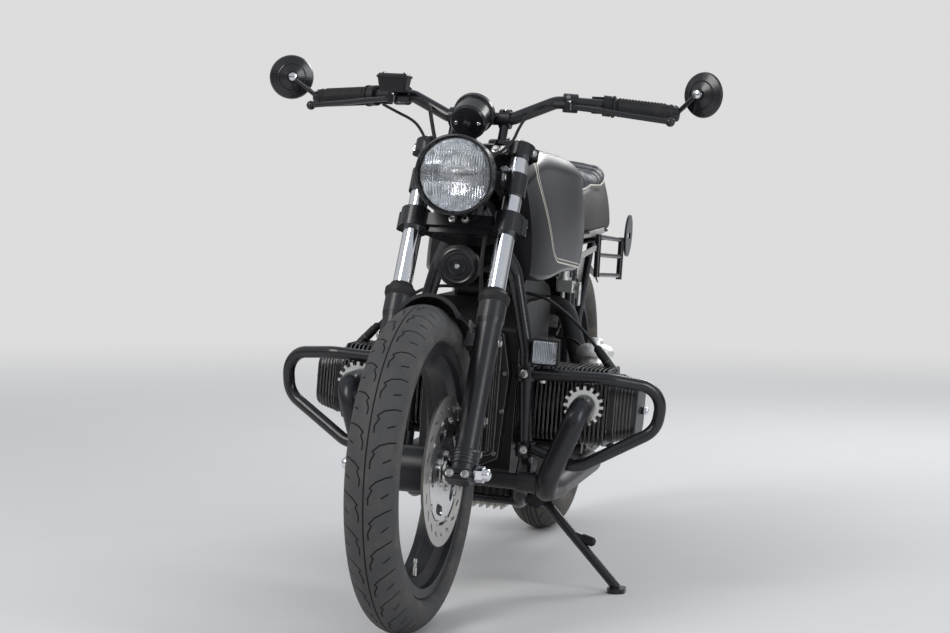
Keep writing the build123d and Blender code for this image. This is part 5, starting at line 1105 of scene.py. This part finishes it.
class SEAT_PG_sizes(bpy.types.PropertyGroup):
    pleat: bpy.props.FloatProperty(
        name="Pleat", description="Width of one sewn roll of the seat in mm", default=37.0
    )
    channel: bpy.props.FloatProperty(
        name="Channel", description="Depth of the sewn channels in mm", default=6.5
    )
    seam: bpy.props.FloatProperty(
        name="Seam", description="Height of the piping under the seat's top in mm", default=34.0
    )
    voxel: bpy.props.FloatProperty(
        name="Skin", description="Mesh size of the seat's skin in mm", default=4.5
    )
    width: bpy.props.FloatProperty(
        name="Tightness", description="Share of the pad's width that the cover keeps", default=0.87
    )


# The seat's top: places along the bike and their heights, then its ends, its floor and its first pleat
SEAT_TOPS = ((901, 843), (959, 876), (1101, 889), (1251, 888), (1341, 904), (1389, 894))
SEAT_FRONT = 900.8
SEAT_END = 1388.8
SEAT_FLOOR = 753.0
FIRST_PLEAT = SEAT_FRONT + 4
SEAM_DENT, SEAM_SPREAD, FLANK_DENT = 2.6, 5.0, 1.4


def seat_top(y):
    """Height of the seat's top at one place along it."""
    for (start, low), (end, high) in zip(SEAT_TOPS, SEAT_TOPS[1:]):
        if y <= end:
            return low + (high - low) * max(0.0, y - start) / (end - start)
    return SEAT_TOPS[-1][1]


def eased(low, high, value):
    """0 below low, 1 above high, and a soft step between."""
    t = min(1.0, max(0.0, (value - low) / (high - low)))
    return t * t * (3 - 2 * t)


def modified(piece, kind, **settings):
    """Adds a modifier with its settings to the active piece, and applies it."""
    modifier = piece.modifiers.new(kind.lower(), kind)
    for key, value in settings.items():
        setattr(modifier, key, value)
    bpy.ops.object.modifier_apply(modifier=modifier.name)


def sewn_pad(sizes):
    """The seat's solid as a soft skin, drawn in at its pleats, its seam and its flanks."""
    pad = bpy.data.objects.new("seat_cover", NODES["seat"].data.copy())
    bpy.context.collection.objects.link(pad)
    edit(pad)
    bpy.ops.mesh.remove_doubles(threshold=0.05 * MM)
    bpy.ops.object.mode_set(mode="OBJECT")
    modified(pad, "REMESH", mode="VOXEL", voxel_size=sizes.voxel * MM)
    modified(pad, "SMOOTH", factor=0.5, iterations=3)
    modified(pad, "SUBSURF", levels=1, render_levels=1)
    home = BODY.inverted()
    turn = home.to_3x3()
    places = [home @ v.co / MM for v in pad.data.vertices]
    ways = [(turn @ v.normal).normalized() for v in pad.data.vertices]
    for vertex, place, way in zip(pad.data.vertices, places, ways):
        seam = seat_top(place.y) - sizes.seam
        above = eased(2.0, 14.0, place.z - seam)
        swell = abs(math.sin(math.pi * (place.y - FIRST_PLEAT) / sizes.pleat)) ** 0.55
        sunk = sizes.channel * (1 - swell) * above
        drawn = SEAM_DENT * math.exp(-(((place.z - seam) / SEAM_SPREAD) ** 2)) + FLANK_DENT * (1 - above)
        place = place - way * (sunk + drawn * eased(SEAT_FLOOR + 1, SEAT_FLOOR + 6, place.z))
        place.x *= sizes.width
        vertex.co = BODY @ (place * MM)
    pad.data.update()
    for polygon in pad.data.polygons:
        polygon.use_smooth = True
    return pad


def piping_route(tree, seam):
    """Loop round the seat, just outside its skin, at the seam's depth under its top."""
    steps, inset = 24, 6
    flank = []
    for number in range(steps + 1):
        y = SEAT_FRONT + inset + (SEAT_END - SEAT_FRONT - 2 * inset) * number / steps
        hit = tree.ray_cast(Vector((0, y, seat_top(y) - seam)), LEFT)[0]
        flank.append(hit + LEFT * 0.8)
    ends = [Vector((x, SEAT_END - 0.6, seat_top(SEAT_END) - seam)) for x in (80, 0, -80)]
    starts = [Vector((x, SEAT_FRONT + 0.6, seat_top(SEAT_FRONT) - seam)) for x in (-80, 0, 80)]
    return flank + ends + [at_side(-1, place) for place in reversed(flank)] + starts


def stitch_routes(tree, seam, pleat):
    """Two lines of stitches in each channel, laid on the skin by rays from inside the pad."""
    routes = []
    for number in range(1, int((SEAT_END - 6 - FIRST_PLEAT) / pleat) + 1):
        y = FIRST_PLEAT + number * pleat
        run = []
        for tilt in range(-10, 11):
            angle = math.radians(tilt * 6.6)
            way = Vector((math.sin(angle), 0, math.cos(angle)))
            hit = tree.ray_cast(Vector((0, y, seat_top(y) - 40)), way)[0]
            if hit and hit.z > seat_top(y) - seam + 5:
                run.append(hit + way * 0.4)
        routes += [[place + Vector((0, off, abs(off) * 0.55)) for place in run] for off in (-2.6, 2.6)]
    return routes


class SEAT_OT_cover(bpy.types.Operator):
    """Sews the seat: pleated top, smooth sides, piping between them, and stitches in each channel"""

    bl_idname = "motorcycle.seat"
    bl_label = "Seat"

    def execute(self, context):
        sizes = context.scene.seat_sizes
        pad = sewn_pad(sizes)
        own(pad, "seat_cover", "chassis", "leather", replaces=["seat"])
        pad.data.materials.append(FINISHES["side leather"])
        home = BODY.inverted()
        for polygon in pad.data.polygons:
            middle = home @ polygon.center / MM
            polygon.material_index = 0 if middle.z > seat_top(middle.y) - sizes.seam else 1
        corners = [home @ vertex.co / MM for vertex in pad.data.vertices]
        tree = BVHTree.FromPolygons(corners, [polygon.vertices for polygon in pad.data.polygons])
        loop = piping_route(tree, sizes.seam)
        own(strand("piping", BODY, [loop], 2.6, cyclic=True), "seat_piping", "chassis", "leather", "piping")
        threads = stitch_routes(tree, sizes.seam, sizes.pleat)
        own(strand("stitches", BODY, threads, 0.75), "seat_stitches", "chassis", "leather", "thread")
        return {"FINISHED"}


# Studio


def photo_camera():
    """Camera fitted to the photograph, from the upright bike's ground point under its front axle."""
    place = Vector((1091.0, -4487.0, 875.0)) * MM
    yaw, pitch, roll = (math.radians(a) for a in (-12.04, -3.39, 0.65))
    focal_pixels, photo_width, sensor = 2450.9, 950.0, 36.0
    forward = Vector((math.sin(yaw) * math.cos(pitch), math.cos(yaw) * math.cos(pitch), math.sin(pitch)))
    right = Vector((math.cos(yaw), -math.sin(yaw), 0))
    up = right.cross(forward)
    turned_right = right * math.cos(roll) + up * math.sin(roll)
    turned_up = up * math.cos(roll) - right * math.sin(roll)
    data = bpy.data.cameras.new("photo_camera")
    data.sensor_width = sensor
    data.lens = focal_pixels * sensor / photo_width
    camera = bpy.data.objects.new("photo_camera", data)
    turn = Matrix((turned_right, turned_up, -forward)).transposed().to_4x4()
    ground = Vector((BODY.translation.x, BODY.translation.y, 0))
    camera.matrix_world = Matrix.Translation(place + ground) @ turn
    bpy.context.collection.objects.link(camera)
    bpy.context.scene.camera = camera


class STUDIO_PG_settings(bpy.types.PropertyGroup):
    floor_colour: bpy.props.FloatVectorProperty(
        name="Floor",
        description="Colour of the studio floor",
        subtype="COLOR",
        size=3,
        default=(0.72, 0.715, 0.71),
    )
    backdrop: bpy.props.FloatProperty(
        name="Backdrop", description="Brightness of the far backdrop", default=0.72
    )
    key_power: bpy.props.FloatProperty(
        name="Key lamp", description="Power of the key lamp", default=88.0, unit="POWER"
    )
    sky: bpy.props.FloatProperty(name="Sky", description="Strength of the even light", default=0.60)


# Lamps: name, place, aim and size in metres, share of the key lamp's power, and colour
LAMPS = (
    ("key", (-2.2, -3.2, 3.4), (0, 0, 0.6), (1.6, 2.4), 1.0, (1.0, 0.99, 0.97)),
    ("fill", (3.6, -2.4, 1.8), (0, -0.2, 0.5), (1.2, 2.4), 0.6, (0.92, 0.96, 1.0)),
    ("back", (1.5, 3.6, 2.8), (0, 0, 0.6), (2.6, 1.2), 0.8, (1.0, 1.0, 1.0)),
)

# Colours of the even light, from straight below to straight above
SKY_STOPS = (
    (0.0, (0.50, 0.49, 0.48)),
    (0.49, (0.48, 0.47, 0.46)),
    (0.53, (0.20, 0.21, 0.23)),
    (0.58, (0.45, 0.48, 0.54)),
    (0.66, (1.0, 1.0, 1.0)),
    (1.0, (0.80, 0.88, 1.0)),
)


def lamp(name, place, aim, size, power, colour):
    """Area lamp at a place, turned to its aim."""
    data = bpy.data.lights.new(name, "AREA")
    data.shape = "RECTANGLE"
    data.size, data.size_y = size
    data.energy, data.color = power, colour
    made = bpy.data.objects.new(name, data)
    made.location = place
    made.rotation_euler = (Vector(aim) - Vector(place)).to_track_quat("-Z", "Y").to_euler()
    bpy.context.collection.objects.link(made)


def lay_floor(settings):
    """Round floor that turns into the plain backdrop far away, for the camera alone."""
    clear()
    bpy.ops.mesh.primitive_circle_add(vertices=96, radius=30.0, fill_type="NGON", location=(0, 0, 0))
    floor = bpy.context.object
    floor.name = "floor"
    finish = Finish("studio floor")
    grain = finish.noise(3.0, 6.0, 0.6)
    base = tuple(settings.floor_colour)
    finish.set(Base_Color=finish.mix(grain, base, tuple(c * 0.96 for c in base)))
    finish.set(Roughness=0.9, Specular_IOR_Level=0.15)
    here = finish.here()
    away = (finish.dot(here, (1, 0, 0)) ** 2.0 + finish.dot(here, (0, 1, 0)) ** 2.0) ** 0.5
    seen = finish.out(finish.node("ShaderNodeLightPath"), "Is Camera Ray")
    haze = finish.node("ShaderNodeEmission", Color=(1.0, 1.0, 1.0), Strength=settings.backdrop)
    finish.blend(away.smooth(2.2, 7.5) * seen, finish.shader, haze)
    floor.data.materials.append(finish.material)


def light_world(settings):
    """Even light from the sky's colours, and a plain backdrop for the camera."""
    world = bpy.data.worlds.new("studio")
    bpy.context.scene.world = world
    sky = Nodes(world)
    way = sky.out(sky.node("ShaderNodeTexCoord"), "Generated")
    rise = sky.out(sky.node("ShaderNodeSeparateXYZ", i0=way), "Z")
    ramp = sky.node("ShaderNodeValToRGB", {"stops": SKY_STOPS}, i0=rise.maths("MULTIPLY_ADD", 0.5, 0.5))
    light = sky.tree.nodes["Background"]
    feed(sky.tree, light.inputs["Color"], sky.out(ramp))
    light.inputs["Strength"].default_value = settings.sky
    backdrop = sky.node("ShaderNodeBackground", Color=(settings.backdrop,) * 3)
    seen = sky.out(sky.node("ShaderNodeLightPath"), "Is Camera Ray")
    sky.blend(seen, light, backdrop)


class STUDIO_OT_stage(bpy.types.Operator):
    """Adds the floor, the lamps, the world and the camera"""

    bl_idname = "motorcycle.stage"
    bl_label = "Studio"

    def execute(self, context):
        settings = context.scene.studio_settings
        lay_floor(settings)
        light_world(settings)
        for name, place, aim, size, share, colour in LAMPS:
            lamp(name, place, aim, size, settings.key_power * share, colour)
        photo_camera()
        context.scene.view_settings.view_transform = "Standard"
        return {"FINISHED"}


class STUDIO_OT_finishes(bpy.types.Operator):
    """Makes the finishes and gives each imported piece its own, or its slot's"""

    bl_idname = "motorcycle.finishes"
    bl_label = "Finishes"

    def execute(self, context):
        make_finishes()
        for entry in RECORD["subparts"]:
            data = NODES[entry["node"]].data
            data.materials.clear()
            own_finish = FINISHES.get(entry["node"])
            data.materials.append(own_finish or FINISHES[entry["material_slot"]])
        return {"FINISHED"}


OPERATORS = (
    STUDIO_OT_finishes,
    FORK_OT_fasteners,
    FORK_OT_trim,
    FORK_OT_lamp,
    CABLES_OT_add,
    WHEELS_OT_details,
    ENGINE_OT_details,
    CHASSIS_OT_trim,
    SEAT_OT_cover,
    STUDIO_OT_stage,
)


class STUDIO_PT_panel(bpy.types.Panel):
    """Lists the steps that dress the motorcycle"""

    bl_idname = "STUDIO_PT_panel"
    bl_label = "Motorcycle"
    bl_space_type = "VIEW_3D"
    bl_region_type = "UI"
    bl_category = "Motorcycle"

    def draw(self, context):
        for operator in OPERATORS:
            self.layout.operator(operator.bl_idname)


SETTINGS = {
    "studio_settings": STUDIO_PG_settings,
    "fork_sizes": FORK_PG_sizes,
    "seat_sizes": SEAT_PG_sizes,
}
CLASSES = (*SETTINGS.values(), *OPERATORS, STUDIO_PT_panel)


def register():
    for made in CLASSES:
        bpy.utils.register_class(made)
    for name, group in SETTINGS.items():
        setattr(bpy.types.Scene, name, bpy.props.PointerProperty(type=group))


def unregister():
    for name in SETTINGS:
        delattr(bpy.types.Scene, name)
    for made in reversed(CLASSES):
        bpy.utils.unregister_class(made)


def main():
    register()
    for operator in OPERATORS:
        group, name = operator.bl_idname.split(".")
        getattr(getattr(bpy.ops, group), name)()


if __name__ == "__main__":
    main()
